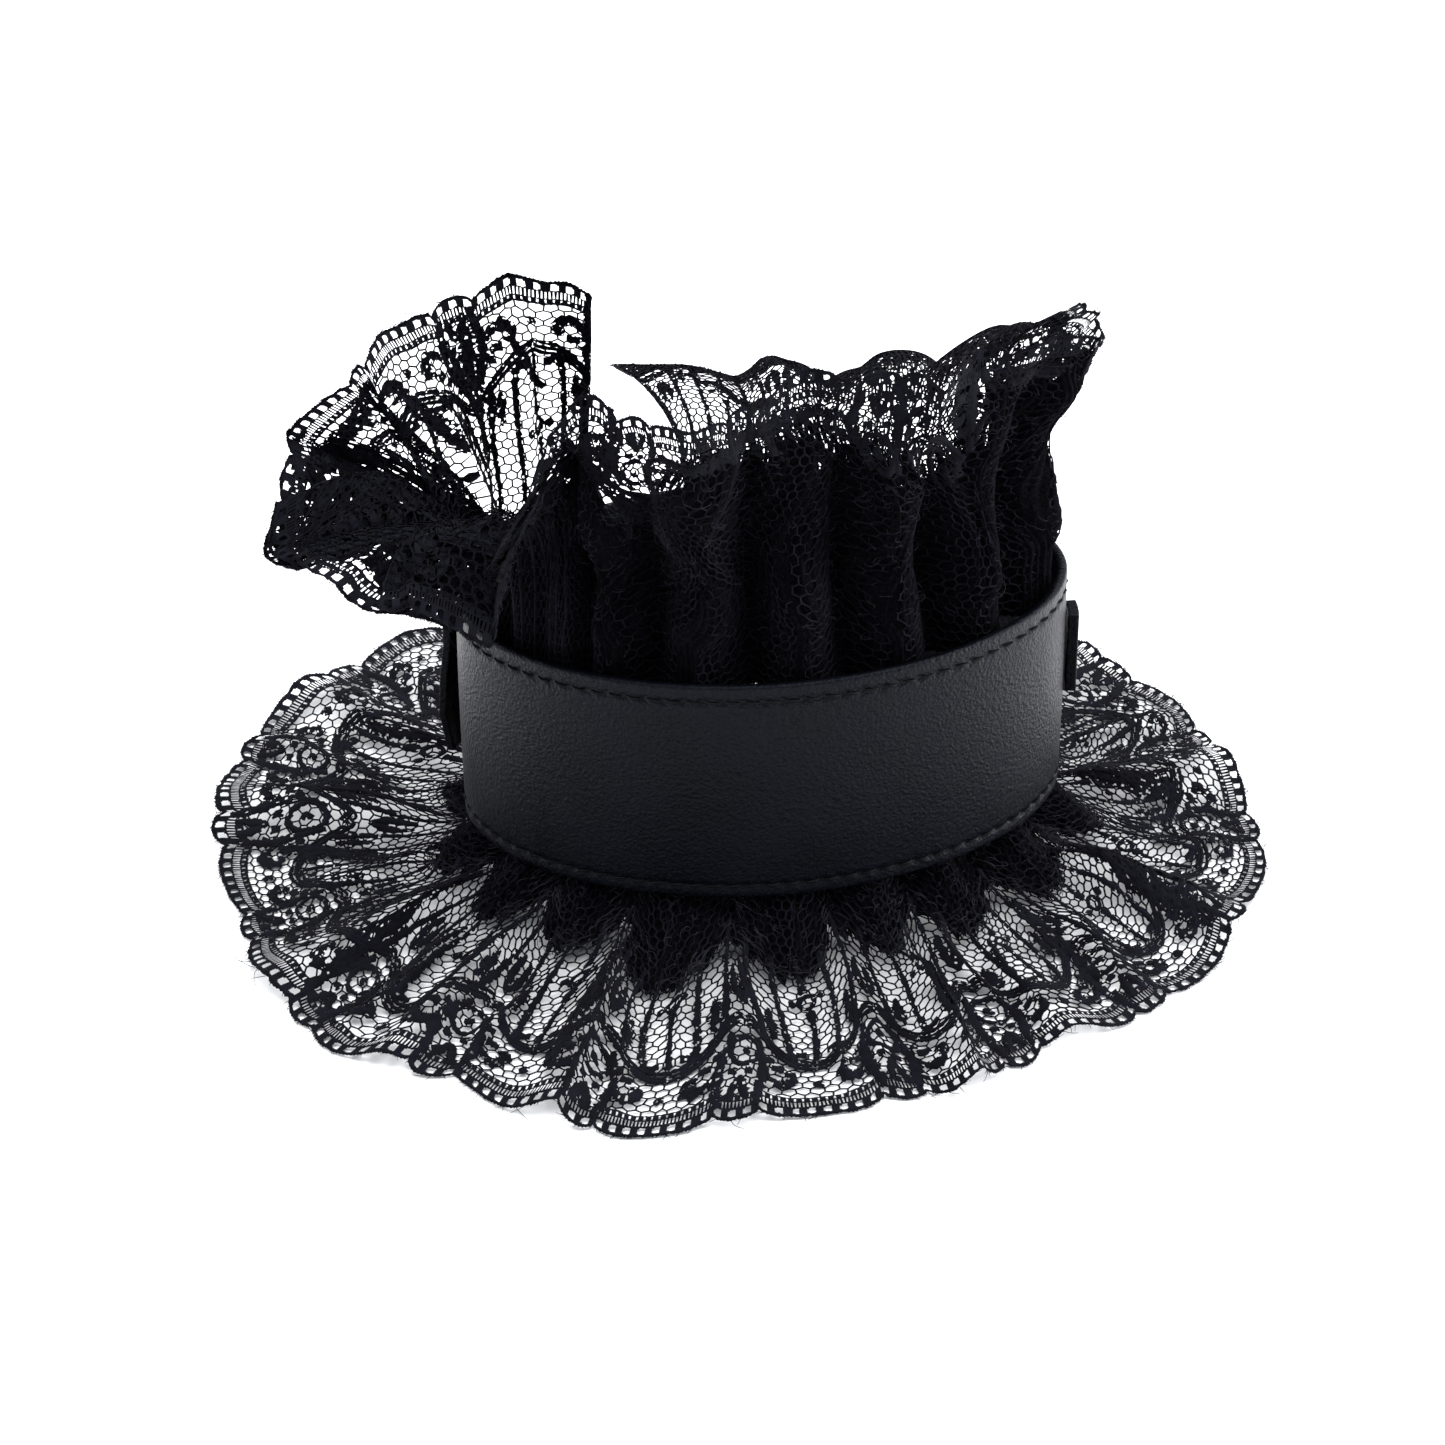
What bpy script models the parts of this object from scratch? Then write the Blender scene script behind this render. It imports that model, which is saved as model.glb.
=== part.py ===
"""A lace choker: a leather neck band with a gathered lace ruffle standing above it and another spread below it."""
import math

import bmesh
import bpy
import numpy as np

# Sizes, in millimetres and degrees
MM = 0.001
HALF_WIDE = 63.0  # the band's plan is an oval, this is its half width
HALF_DEEP = 41.0
ROUNDNESS = 1.92  # 2 is an ellipse
OVAL_TURN = 4.0
CLOSING_AT = 126.0  # where the band's two ends meet, at the back left
CLOSING_GAP = 1.0
BAND_LOW = 13.0  # height of the band's lower edge over the surface
BAND_TALL = 51.0
BAND_TILT = 0.033  # the band's right side sits a little higher
BAND_THICK = 2.2
BAND_EDGE = 0.7
BAND_COLUMNS = 90
SEAM_GAP = 0.5
STRAP_TALL = 36.0
STRAP_THICK = 1.7
STRAP_LIFT = 2.6
TAB_FROM = 205.0
TAB_TO = 211.0
TAB_TALL = 18.6
TAB_THICK = 2.3
TAB_ABOVE = 20.9  # over the band's bottom edge
LAID_GAP = 0.4  # between the band and what lies on it
LACE_THICK = 1.1
LACE_WIDE = 64.0  # from the band's edge to the tips of the scallops
LACE_TUCKED = 6.0  # what is sewn behind the band's edge
LACE_DROP = 1.6  # the lower lace hangs this far below the band before it turns out
UPPER_CUT = 38.0  # flat length of lace gathered into each flute of the upper ruffle
LOWER_CUT = 48.0  # the same for the lower one
COLUMNS_A_LOBE = 10
ROWS_ACROSS = (0.0, 0.09, 0.16, 0.25, 0.38, 0.53, 0.70, 0.86, 1.0)
SCALLOP_REPEAT = 34.5
SCALLOP_BIG = 25.0
SCALLOP_DEEP = 3.2

# The upper ruffle, a row for each section: valleys and crests in turn, from the closing round the left to the front.
# ring_at is the distance round the band, tuck how far the section sits in from the band, lean its slope outwards,
# droop what the slope gains towards the rim, turn its swing along the band.
UPPER = (
    # ring_at, tuck, lean, droop, turn
    (2.0, 4.0, -14, 0, -15),
    (9.0, 1.0, -10, 0, -25),
    (18.0, 6.0, 4, 0, 20),
    (27.0, 1.0, 8, 0, 50),
    (36.0, 8.0, 20, 0, 20),
    (44.0, 1.0, 22, 4, 20),
    (52.0, 4.0, 39, 19, -8),
    (58.0, 1.0, 48, 38, -2),
    (63.5, 7.0, 36, 64, 2),
    (69.0, 1.0, 8, 118, 12),
    (74.5, 4.0, 6, 136, 20),
    (80.0, 1.0, -14, 110, 14),
    (85.0, 9.0, -8, 52, 0),
    (90.0, 0.0, 5, 0, -10),
    (100.5, 14.0, 17, 0, -10),
    (111.0, 0.0, 13, 0, 3),
    (121.5, 17.0, 14, 0, -3),
    (132.5, 0.0, -12, 0, -5),
    (143.0, 17.0, 8, 0, -4),
    (154.0, 0.0, -6, 0, 5),
    (164.5, 16.0, 19, 0, -20),
    (175.0, 0.0, -4, 0, 10),
    (187.0, 15.0, 15, 0, -2),
    (200.0, 0.0, -2, 32, -40),
    (211.0, 12.0, 4, 28, -42),
    (222.0, 0.0, -32, 84, -52),
    (233.0, 4.0, -28, 108, -38),
    (243.0, 0.0, 4, 122, -2),
    (253.0, 12.0, 52, 88, 6),
    (263.0, 0.0, 72, 62, 8),
    (273.0, 12.0, 78, 56, 6),
    (282.0, 0.0, 88, 34, 4),
    (290.0, 10.0, 88, 32, 2),
    (298.5, 0.0, 88, 32, 2),
    (306.0, 4.0, 89, 22, 5),
)

# The lower ruffle, a row for each section as above. reach is how far its rim lies out from the band.
LOWER = (
    # ring_at, reach, turn
    (2.0, 64, 0),
    (11.0, 64, 0),
    (21.5, 63, 0),
    (32.0, 60, 0),
    (42.0, 56, 0),
    (52.0, 52, 0),
    (61.0, 57, 0),
    (70.0, 61, 0),
    (78.0, 59, 0),
    (86.0, 57, 0),
    (95.5, 61, 0),
    (105.0, 64, 0),
    (117.5, 60, 0),
    (130.0, 55, 0),
    (138.5, 54, 0),
    (147.0, 55, 0),
    (155.0, 52, 0),
    (163.0, 47, 0),
    (173.0, 51, 0),
    (183.0, 49, 0),
    (193.5, 47, 0),
    (204.0, 45, 0),
    (215.0, 43, 0),
    (226.0, 48, 0),
    (238.0, 51, 0),
    (250.0, 53, 0),
    (262.0, 55, 0),
    (274.0, 56, 0),
    (287.0, 57, 0),
    (300.0, 58, 0),
    (319.0, 60, 0),
)

# Folds that stand up from the lower ruffle where it lies on the surface: at counts lobes from the closing,
# high is the fold's height, side how far it leans along the rim.
FOLDS = (
    # at, high, side
    (1.0, 5.0, 2.5),
    (1.9, 6.5, -3.0),
    (3.0, 6.0, 3.0),
    (4.0, 4.5, -2.0),
    (5.1, 5.0, 2.5),
    (6.1, 3.0, 1.5),
    (7.6, 7.5, 3.0),
    (8.6, 4.0, -2.0),
    (9.9, 6.0, 3.0),
    (11.0, 6.5, -3.0),
    (12.0, 4.5, 2.0),
    (13.1, 5.5, -2.5),
    (14.1, 4.5, 2.0),
)
FOLD_HALF = 0.17  # half the width of such a fold, in lobes


def clear_scene():
    """Removes every object, so that the script always starts from nothing."""
    for item in list(bpy.data.objects):
        bpy.data.objects.remove(item, do_unlink=True)


def collection(name):
    """A new collection under the scene."""
    made = bpy.data.collections.new(name)
    bpy.context.scene.collection.children.link(made)
    return made


def surface_of(name, colour, rough, sheen=0.0):
    """A material with one Principled shader."""
    made = bpy.data.materials.new(name)
    made.use_nodes = True
    node = made.node_tree.nodes["Principled BSDF"]
    node.inputs["Base Color"].default_value = (*colour, 1.0)
    node.inputs["Roughness"].default_value = rough
    node.inputs["Sheen Weight"].default_value = sheen
    made.diffuse_color = (*colour, 1.0)
    return made


def ease(x):
    """A smooth step from 0 to 1."""
    x = np.clip(x, 0.0, 1.0)
    return x * x * (3.0 - 2.0 * x)


def ring_path(count=1440):
    """The oval in plan, from the closing round the left, the front and the right, with the distance along it."""
    t = math.radians(CLOSING_AT) + np.linspace(0.0, 2.0 * math.pi, count + 1)
    c, s = np.cos(t), np.sin(t)
    x = HALF_WIDE * np.sign(c) * np.abs(c) ** (2.0 / ROUNDNESS)
    y = HALF_DEEP * np.sign(s) * np.abs(s) ** (2.0 / ROUNDNESS)
    a = math.radians(OVAL_TURN)
    x, y = x * math.cos(a) - y * math.sin(a), x * math.sin(a) + y * math.cos(a)
    along = np.concatenate([[0.0], np.cumsum(np.hypot(np.diff(x), np.diff(y)))])
    return along, x, y


ALONG, RING_X, RING_Y = ring_path()
ROUND = float(ALONG[-1])


def on_ring(at):
    """Point, outward direction and forward direction on the oval at a distance round it."""
    def place(a):
        a = np.mod(a, ROUND)
        return np.interp(a, ALONG, RING_X), np.interp(a, ALONG, RING_Y)

    at = np.asarray(at, dtype=float)
    x, y = place(at)
    x1, y1 = place(at + 2.0)
    x0, y0 = place(at - 2.0)
    length = np.hypot(x1 - x0, y1 - y0)
    tx, ty = (x1 - x0) / length, (y1 - y0) / length
    return np.stack([x, y], -1), np.stack([ty, -tx], -1), np.stack([tx, ty], -1)


def scallop(cut):
    """How far the rim stays short of the scallop tips at a distance along the flat lace."""
    u = np.mod(cut, SCALLOP_REPEAT)
    big = u / SCALLOP_BIG
    small = (u - SCALLOP_BIG) / (SCALLOP_REPEAT - SCALLOP_BIG)
    bow = np.where(u < SCALLOP_BIG, np.sin(np.pi * np.clip(big, 0, 1)), 0.55 * np.sin(np.pi * np.clip(small, 0, 1)))
    return SCALLOP_DEEP * (1.0 - np.sqrt(np.clip(bow, 0.0, 1.0)))


def smooth_through(knots, rows, at):
    """A smooth curve through rows (knots, ..., 3) at each value in at."""
    i = np.clip(np.searchsorted(knots, at, side="right") - 1, 0, len(knots) - 2)
    t = (at - knots[i]) / (knots[i + 1] - knots[i])
    before, after = np.maximum(i - 1, 0), np.minimum(i + 2, len(knots) - 1)
    p0, p1, p2, p3 = rows[before], rows[i], rows[i + 1], rows[after]
    m1 = 0.5 * (p2 - p0)
    m2 = 0.5 * (p3 - p1)
    shape = t.shape + (1,) * (rows.ndim - 1)
    t = t.reshape(shape)
    return (
        (2 * t**3 - 3 * t**2 + 1) * p1
        + (t**3 - 2 * t**2 + t) * m1
        + (-2 * t**3 + 3 * t**2) * p2
        + (t**3 - t**2) * m2
    )


def upper_section(row, across):
    """One section of the upper ruffle. across runs from the sewn edge, below 0 behind the band, to the rim."""
    ring_at, tuck, lean, droop, turn = row
    p, n, t = on_ring(ring_at)
    step = 1.0
    v = np.arange(-LACE_TUCKED, LACE_WIDE + step, step)
    slope = np.radians(lean * ease((v + 2.0) / 26.0) + droop * ease((v - 16.0) / 40.0))
    swing = math.radians(turn)
    h = math.cos(swing) * n + math.sin(swing) * t
    out = np.concatenate([[0.0], np.cumsum(np.sin(slope[:-1]) * step)])
    up = np.concatenate([[0.0], np.cumsum(np.cos(slope[:-1]) * step)]) - LACE_TUCKED
    depth = (0.5 + 0.5 * ease((v + 6.0) / 26.0)) * (1.0 - 0.3 * ease((v - 38.0) / 26.0))
    inward = BAND_THICK + SEAM_GAP + tuck * depth
    x = p[0] + h[0] * out - n[0] * inward
    y = p[1] + h[1] * out - n[1] * inward
    z = BAND_LOW + BAND_TALL + BAND_TILT * p[0] + up
    return np.stack([np.interp(across, v, x), np.interp(across, v, y), np.interp(across, v, z)], -1)


def lower_section(row, crest, across):
    """One section of the lower ruffle, down from behind the band and out over the surface."""
    ring_at, reach, turn = row
    p, n, t = on_ring(ring_at)
    swing = math.radians(turn)
    h = math.cos(swing) * n + math.sin(swing) * t
    start = -(BAND_THICK + SEAM_GAP + (0.0 if crest else 9.0))
    drop = np.minimum(across, LACE_DROP)
    f = np.clip((across - LACE_DROP) / (LACE_WIDE - LACE_DROP), 0.0, 1.0)
    out = (reach - start) * f ** (1.0 if crest else 1.12)
    high = BAND_LOW + BAND_TILT * p[0] - LACE_DROP - LACE_THICK
    fall = high * (1.0 - f) ** (4.0 if crest else 2.6)
    rest = LACE_THICK + np.maximum(fall - 0.35 * ease(f * 3.0), 0.0)
    z = rest + np.where(across < LACE_DROP, LACE_DROP - drop, 0.0)
    x = p[0] + n[0] * start + h[0] * out
    y = p[1] + n[1] * start + h[1] * out
    return np.stack([x, y, z], -1)


def flutes(table, section, lobe_at, fullness):
    """Blends valley and crest sections into round flutes with narrow valleys between them."""
    valley_rows = np.array([section(row, False) for row in table[0::2]])
    crest_rows = np.array([section(row, True) for row in table[1::2]])
    lobes = len(crest_rows)
    valleys = smooth_through(np.arange(lobes + 1.0), valley_rows, lobe_at)
    middles = np.concatenate([[0.0], np.arange(lobes) + 0.5, [float(lobes)]])
    ends = np.concatenate([crest_rows[:1], crest_rows, crest_rows[-1:]])
    ends[0] += 0.5 * (valley_rows[0] - valley_rows[1])
    ends[-1] += 0.5 * (valley_rows[-1] - valley_rows[-2])
    crests = smooth_through(middles, ends, lobe_at)
    bow = np.sin(np.pi * lobe_at) ** 2
    weight = ((bow + 0.02) ** fullness - 0.02**fullness) / (1.02**fullness - 0.02**fullness)
    return valleys + weight[:, None, None] * (crests - valleys)


def upper_surface(lobe_at, share):
    """Points of the upper ruffle: lobe_at counts lobes along it, share runs from the sewn edge to the rim."""
    across = -LACE_TUCKED + share * (LACE_WIDE + LACE_TUCKED)
    return flutes(UPPER, lambda row, crest: upper_section(row, across), lobe_at, 0.42)


def lower_surface(lobe_at, share):
    """Points of the lower ruffle, with its standing folds."""
    across = -LACE_TUCKED + share * (LACE_WIDE + LACE_TUCKED)
    points = flutes(LOWER, lambda row, crest: lower_section(row, crest, across), lobe_at, 0.5)
    grown = ease((across - 12.0) / 22.0) * (1.0 - 0.35 * ease((across - 46.0) / 18.0))
    forward = np.gradient(points, axis=0)
    forward /= np.linalg.norm(forward, axis=2, keepdims=True) + 1e-9
    for at, high, side in FOLDS:
        bump = np.exp(-(((lobe_at - at) / FOLD_HALF) ** 2))[:, None] * grown[None, :]
        points[:, :, 2] += high * bump
        points += (side * bump * bump)[:, :, None] * forward * np.array([1.0, 1.0, 0.0])
    return points


def trim(points, lobe_at, share, lobe_cut):
    """Cuts the rim to its scallops by drawing the outer rows in along the sections."""
    short = scallop(lobe_at * lobe_cut)
    full = LACE_WIDE + LACE_TUCKED
    out = np.empty_like(points)
    for i in range(len(lobe_at)):
        wanted = share * (full - short[i]) / full
        for axis in range(3):
            out[i, :, axis] = np.interp(wanted, share, points[i, :, axis])
    return out


def sheet_object(name, points, group, material, thick, offset):
    """An open sheet over a grid of points, thickened to a wall, with its modifiers applied."""
    columns, rows = points.shape[:2]
    mesh = bpy.data.meshes.new(name)
    faces = []
    for i in range(columns - 1):
        for j in range(rows - 1):
            a = i * rows + j
            faces.append((a, a + rows, a + rows + 1, a + 1))
    mesh.from_pydata((points.reshape(-1, 3) * MM).tolist(), [], faces)
    made = bpy.data.objects.new(name, mesh)
    group.objects.link(made)
    made.data.materials.append(material)
    wall = made.modifiers.new("wall", "SOLIDIFY")
    wall.thickness = thick * MM
    wall.offset = offset
    wall.use_rim = True
    return made


def apply_modifiers(made):
    """Turns an object's modifiers into plain mesh."""
    view = bpy.context.evaluated_depsgraph_get()
    mesh = bpy.data.meshes.new_from_object(made.evaluated_get(view))
    old = made.data
    made.modifiers.clear()
    made.data = mesh
    mesh.name = old.name
    bpy.data.meshes.remove(old)


def settle(made, within):
    """Presses the underside flat where it all but touches the surface."""
    for vertex in made.data.vertices:
        if vertex.co.z < within * MM:
            vertex.co.z = 0.0


def centre(pieces):
    """Moves everything so that the middle of its footprint is the origin."""
    for axis in (0, 1):
        at = [vertex.co[axis] for made in pieces for vertex in made.data.vertices]
        middle = (min(at) + max(at)) / 2
        for made in pieces:
            for vertex in made.data.vertices:
                vertex.co[axis] -= middle


def outward(made):
    """Makes every face point out of the body."""
    work = bmesh.new()
    work.from_mesh(made.data)
    bmesh.ops.recalc_face_normals(work, faces=work.faces)
    work.to_mesh(made.data)
    work.free()


def ruffle(name, table, surface, lobe_cut, offset, group, material):
    """A gathered lace ruffle as one thin wall."""
    lobes = len(table) // 2
    lobe_at = np.linspace(0.0, lobes, lobes * COLUMNS_A_LOBE + 1)
    fine = np.linspace(0.0, 1.0, 71)
    points = trim(surface(lobe_at, fine), lobe_at, fine, lobe_cut)
    keep = [int(round(share * 70)) for share in ROWS_ACROSS]
    return sheet_object(name, points[:, keep], group, material, LACE_THICK, offset)


def wall_strip(name, start, end, counts, heights, radial, group, material, thick, edge):
    """An upright strip that follows the band, given by functions for its height span and distance out."""
    columns, across = counts
    at = np.linspace(start, end, columns)
    p, n, _ = on_ring(at)
    low, high = heights
    rows = []
    for share in np.linspace(0.0, 1.0, across):
        z = low(at, p) + share * (high(at, p) - low(at, p))
        out = radial(at, share)
        rows.append(np.stack([p[:, 0] + n[:, 0] * out, p[:, 1] + n[:, 1] * out, z], -1))
    made = sheet_object(name, np.stack(rows, 1), group, material, thick, -1.0)
    soft = made.modifiers.new("edge", "BEVEL")
    soft.width = edge * MM
    soft.segments = 2
    soft.limit_method = "ANGLE"
    soft.angle_limit = math.radians(50)
    return made


def build():
    clear_scene()
    whole = collection("lace_choker")
    leather = surface_of("leather", (0.012, 0.012, 0.014), 0.5)
    lace = surface_of("lace", (0.012, 0.011, 0.017), 0.85, 0.3)

    def band_low(at, p):
        return BAND_LOW + BAND_TILT * p[:, 0]

    def band_high(at, p):
        return band_low(at, p) + BAND_TALL

    band = wall_strip(
        "band", CLOSING_GAP / 2, ROUND - CLOSING_GAP / 2, (BAND_COLUMNS, 2), (band_low, band_high),
        lambda at, share: np.zeros_like(at), whole, leather, BAND_THICK, BAND_EDGE,
    )

    # The closing strap lies over the band's ends, its free end springs off at the left
    def strap_low(at, p):
        return band_low(at, p) + (BAND_TALL - STRAP_TALL) / 2 + 1.0

    def strap_high(at, p):
        return strap_low(at, p) + STRAP_TALL

    def strap_out(at, share):
        free = ease((at - (ROUND + 18.0)) / 20.0)
        bulge = 1.0 + 0.5 * np.sin(np.pi * share) + 0.4 * np.sin(2 * np.pi * share)
        return LAID_GAP + STRAP_THICK + STRAP_LIFT * free * bulge * 0.8

    strap = wall_strip(
        "closing_strap", ROUND - 24.0, ROUND + 38.0, (24, 5), (strap_low, strap_high),
        strap_out, whole, leather, STRAP_THICK, 0.35,
    )

    # The short tab on the right side
    def tab_low(at, p):
        return band_low(at, p) + TAB_ABOVE

    def tab_high(at, p):
        return tab_low(at, p) + TAB_TALL

    def tab_out(at, share):
        return np.full_like(at, LAID_GAP + TAB_THICK)

    tab = wall_strip(
        "side_tab", TAB_FROM, TAB_TO, (4, 2), (tab_low, tab_high), tab_out, whole, leather, TAB_THICK, 0.35,
    )

    upper = ruffle("upper_ruffle", UPPER, upper_surface, UPPER_CUT, -1.0, whole, lace)
    lower = ruffle("lower_ruffle", LOWER, lower_surface, LOWER_CUT, 1.0, whole, lace)
    pieces = (band, strap, tab, upper, lower)
    for made in pieces:
        apply_modifiers(made)
        outward(made)
    settle(lower, 0.3)
    centre(pieces)
    for made in pieces:
        made.data.validate()


build()
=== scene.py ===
"""Dresses the lace choker: open lace on the ruffles' own surfaces, stitched leather on the band."""
import math

import bmesh
import bpy
import numpy as np
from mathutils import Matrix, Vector


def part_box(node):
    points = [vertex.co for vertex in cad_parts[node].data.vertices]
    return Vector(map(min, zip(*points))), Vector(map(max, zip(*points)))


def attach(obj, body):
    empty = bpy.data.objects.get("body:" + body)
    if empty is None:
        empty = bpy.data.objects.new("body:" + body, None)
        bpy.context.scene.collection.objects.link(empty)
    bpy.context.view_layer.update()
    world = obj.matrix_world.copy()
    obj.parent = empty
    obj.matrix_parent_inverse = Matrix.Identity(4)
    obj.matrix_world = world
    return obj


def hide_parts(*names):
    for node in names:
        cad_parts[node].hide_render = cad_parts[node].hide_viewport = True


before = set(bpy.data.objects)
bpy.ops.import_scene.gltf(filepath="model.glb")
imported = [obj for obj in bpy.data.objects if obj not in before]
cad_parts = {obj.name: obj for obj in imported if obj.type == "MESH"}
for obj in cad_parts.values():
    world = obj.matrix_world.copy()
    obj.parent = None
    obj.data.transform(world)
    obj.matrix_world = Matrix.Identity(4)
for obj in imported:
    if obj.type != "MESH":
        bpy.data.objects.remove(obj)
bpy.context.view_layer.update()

# Sizes of the part, in millimetres and degrees, as in its source
MM = 0.001
HALF_WIDE = 63.0
HALF_DEEP = 41.0
ROUNDNESS = 1.92
OVAL_TURN = 4.0
CLOSING_AT = 126.0
CLOSING_GAP = 1.0
BAND_LOW = 13.0
BAND_TALL = 51.0
BAND_TILT = 0.033
BAND_THICK = 2.2
SEAM_GAP = 0.5
LACE_THICK = 1.1
LACE_WIDE = 64.0
LACE_TUCKED = 6.0
LACE_DROP = 1.6
SCALLOP_BIG = 25.0
SCALLOP_SMALL = 9.5
SCALLOP_PAIR = SCALLOP_BIG + SCALLOP_SMALL
SCALLOP_DEEP = 3.2

# The upper ruffle's sections, valleys and crests in turn, from the closing round the left to the front
UPPER = (
    # ring_at, tuck, lean, droop, turn
    (2, 4, -14, 0, -15), (9, 1, -10, 0, -25), (18, 6, 4, 0, 20), (27, 1, 8, 0, 50),
    (36, 8, 20, 0, 20), (44, 1, 22, 4, 20), (52, 4, 39, 19, -8), (58, 1, 48, 38, -2),
    (63.5, 7, 36, 64, 2), (69, 1, 8, 118, 12), (74.5, 4, 6, 136, 20), (80, 1, -14, 110, 14),
    (85, 9, -8, 52, 0), (90, 0, 5, 0, -10), (100.5, 14, 17, 0, -10), (111, 0, 13, 0, 3),
    (121.5, 17, 14, 0, -3), (132.5, 0, -12, 0, -5), (143, 17, 8, 0, -4), (154, 0, -6, 0, 5),
    (164.5, 16, 19, 0, -20), (175, 0, -4, 0, 10), (187, 15, 15, 0, -2), (200, 0, -2, 32, -40),
    (211, 12, 4, 28, -42), (222, 0, -32, 84, -52), (233, 4, -28, 108, -38), (243, 0, 4, 122, -2),
    (253, 12, 52, 88, 6), (263, 0, 72, 62, 8), (273, 12, 78, 56, 6), (282, 0, 88, 34, 4),
    (290, 10, 88, 32, 2), (298.5, 0, 88, 32, 2), (306, 4, 89, 22, 5),
)

# The lower ruffle's sections
LOWER = (
    # ring_at, reach
    (2, 64), (11, 64), (21.5, 63), (32, 60), (42, 56), (52, 52), (61, 57), (70, 61),
    (78, 59), (86, 57), (95.5, 61), (105, 64), (117.5, 60), (130, 55), (138.5, 54), (147, 55),
    (155, 52), (163, 47), (173, 51), (183, 49), (193.5, 47), (204, 45), (215, 43), (226, 48),
    (238, 51), (250, 53), (262, 55), (274, 56), (287, 57), (300, 58), (319, 60),
)

# The folds that stand up from the lower ruffle
FOLDS = (
    # at, high, side
    (1, 5, 2.5), (1.9, 6.5, -3), (3, 6, 3), (4, 4.5, -2), (5.1, 5, 2.5), (6.1, 3, 1.5), (7.6, 7.5, 3),
    (8.6, 4, -2), (9.9, 6, 3), (11, 6.5, -3), (12, 4.5, 2), (13.1, 5.5, -2.5), (14.1, 4.5, 2),
)
FOLD_HALF = 0.17

# How each flute is gathered: the fullness of its lace, and how far out its pleats are pressed together
UPPER_GATHERS = (
    (1, 12), (1, 14), (1.5, 90), (2.7, 400), (2.7, 400), (2.4, 400), (1.5, 90), (1.1, 30), (1.2, 44),
    (1.1, 30), (1.2, 44), (1.7, 160), (1.3, 60), (1, 18), (1, 14), (1, 14), (1, 12),
)
LOWER_GATHERS = (
    (1, 18), (1, 16), (1.1, 19), (1, 20), (1, 20), (1.1, 20), (1, 20), (1.1, 20), (1.1, 21), (1, 20),
    (1, 18), (1.1, 21), (1, 17), (1, 18), (1, 16),
)

# How far out from the sewn edge the layers are too many to see through
UPPER_DENSE = (
    # lobe_at, top
    (0, 7), (0.5, 10), (1, 8), (1.6, 13), (2, 14), (2.3, 26), (2.6, 34), (2.72, 43), (2.82, 56),
    (2.95, 58), (3.3, 54), (3.7, 58), (4.2, 56), (4.6, 58), (5.1, 54), (5.6, 56), (6.1, 57), (6.45, 54),
    (6.56, 36), (6.9, 32), (7.2, 34), (7.34, 54), (7.7, 56), (8.1, 52), (8.45, 56), (8.9, 50), (9.3, 42),
    (9.6, 47), (9.9, 38), (10.35, 37), (10.5, 56), (11, 57), (11.6, 57), (12.1, 52), (12.6, 30),
    (13.1, 14), (13.5, 17), (14, 9), (14.5, 14), (15, 9), (15.6, 13), (16.1, 8), (16.6, 12), (17, 7),
)
LOWER_TOPS = (  # at each half flute
    9, 13, 13, 14, 14, 15, 15, 16, 15, 18, 16, 22, 17, 20, 17, 17, 18, 19, 17, 18, 16, 18, 16, 17, 14, 14,
    13, 15, 12, 13, 9,
)
LOWER_DENSE = [(count / 2, top) for count, top in enumerate(LOWER_TOPS)]

# Where the lace is bunched up along a fold or doubled at its rim: from_lobe, from_v, to_lobe, to_v, wide
UPPER_BUNCHES = (
    (0.62, 36, 1.1, 50, 2.6), (1.5, 30, 1.42, 58, 4.6), (1.54, 34, 1.68, 55, 2.4),
    (1.98, 33, 2.28, 54, 4.4), (2.3, 27, 2.62, 50, 3.6), (2.55, 56, 3.1, 54, 4.6),
    (3.2, 53.5, 4.5, 54, 5), (3.5, 42, 4.1, 50, 5), (2.9, 60, 3.5, 60, 4),
    (3.9, 60.5, 4.6, 60.5, 2), (6.72, 32, 6.84, 63, 4.2), (6.5, 50, 6.9, 51, 4.4),
    (7.18, 52, 7.24, 43, 2.6), (7.3, 54, 8.9, 55, 4.5), (10.5, 54, 12.5, 55, 5),
    (13.2, 52, 15, 54, 4), (15.6, 19, 16.54, 36, 5), (15.4, 54, 16.9, 56, 8.5),
    (16.1, 44, 16.95, 46, 6),
)
LOWER_BUNCHES = (
    (0.5, 18, 0.6, 42, 3.4), (1, 18, 1.1, 46, 4.4), (1.55, 20, 1.62, 40, 3.4),
    (2.32, 18, 2.16, 50, 5.2), (3, 16, 3.15, 52, 5.6), (3.5, 20, 3.42, 42, 4),
    (4, 20, 3.85, 46, 4.6), (5.1, 18, 4.95, 53, 5.4), (6.1, 22, 6.2, 40, 2.8),
    (7.6, 22, 7.75, 54, 3.8), (8.6, 24, 8.5, 44, 3), (9.1, 20, 9.05, 50, 4.8),
    (10.06, 13, 9.86, 30, 7), (9.86, 27, 9.8, 59, 7.6), (11.14, 17, 10.78, 46, 9),
    (11.6, 18, 11.5, 44, 5), (12, 16, 12.15, 50, 5.4), (13.1, 18, 13, 50, 5),
    (14.1, 16, 14.2, 44, 4.2),
)

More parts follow.
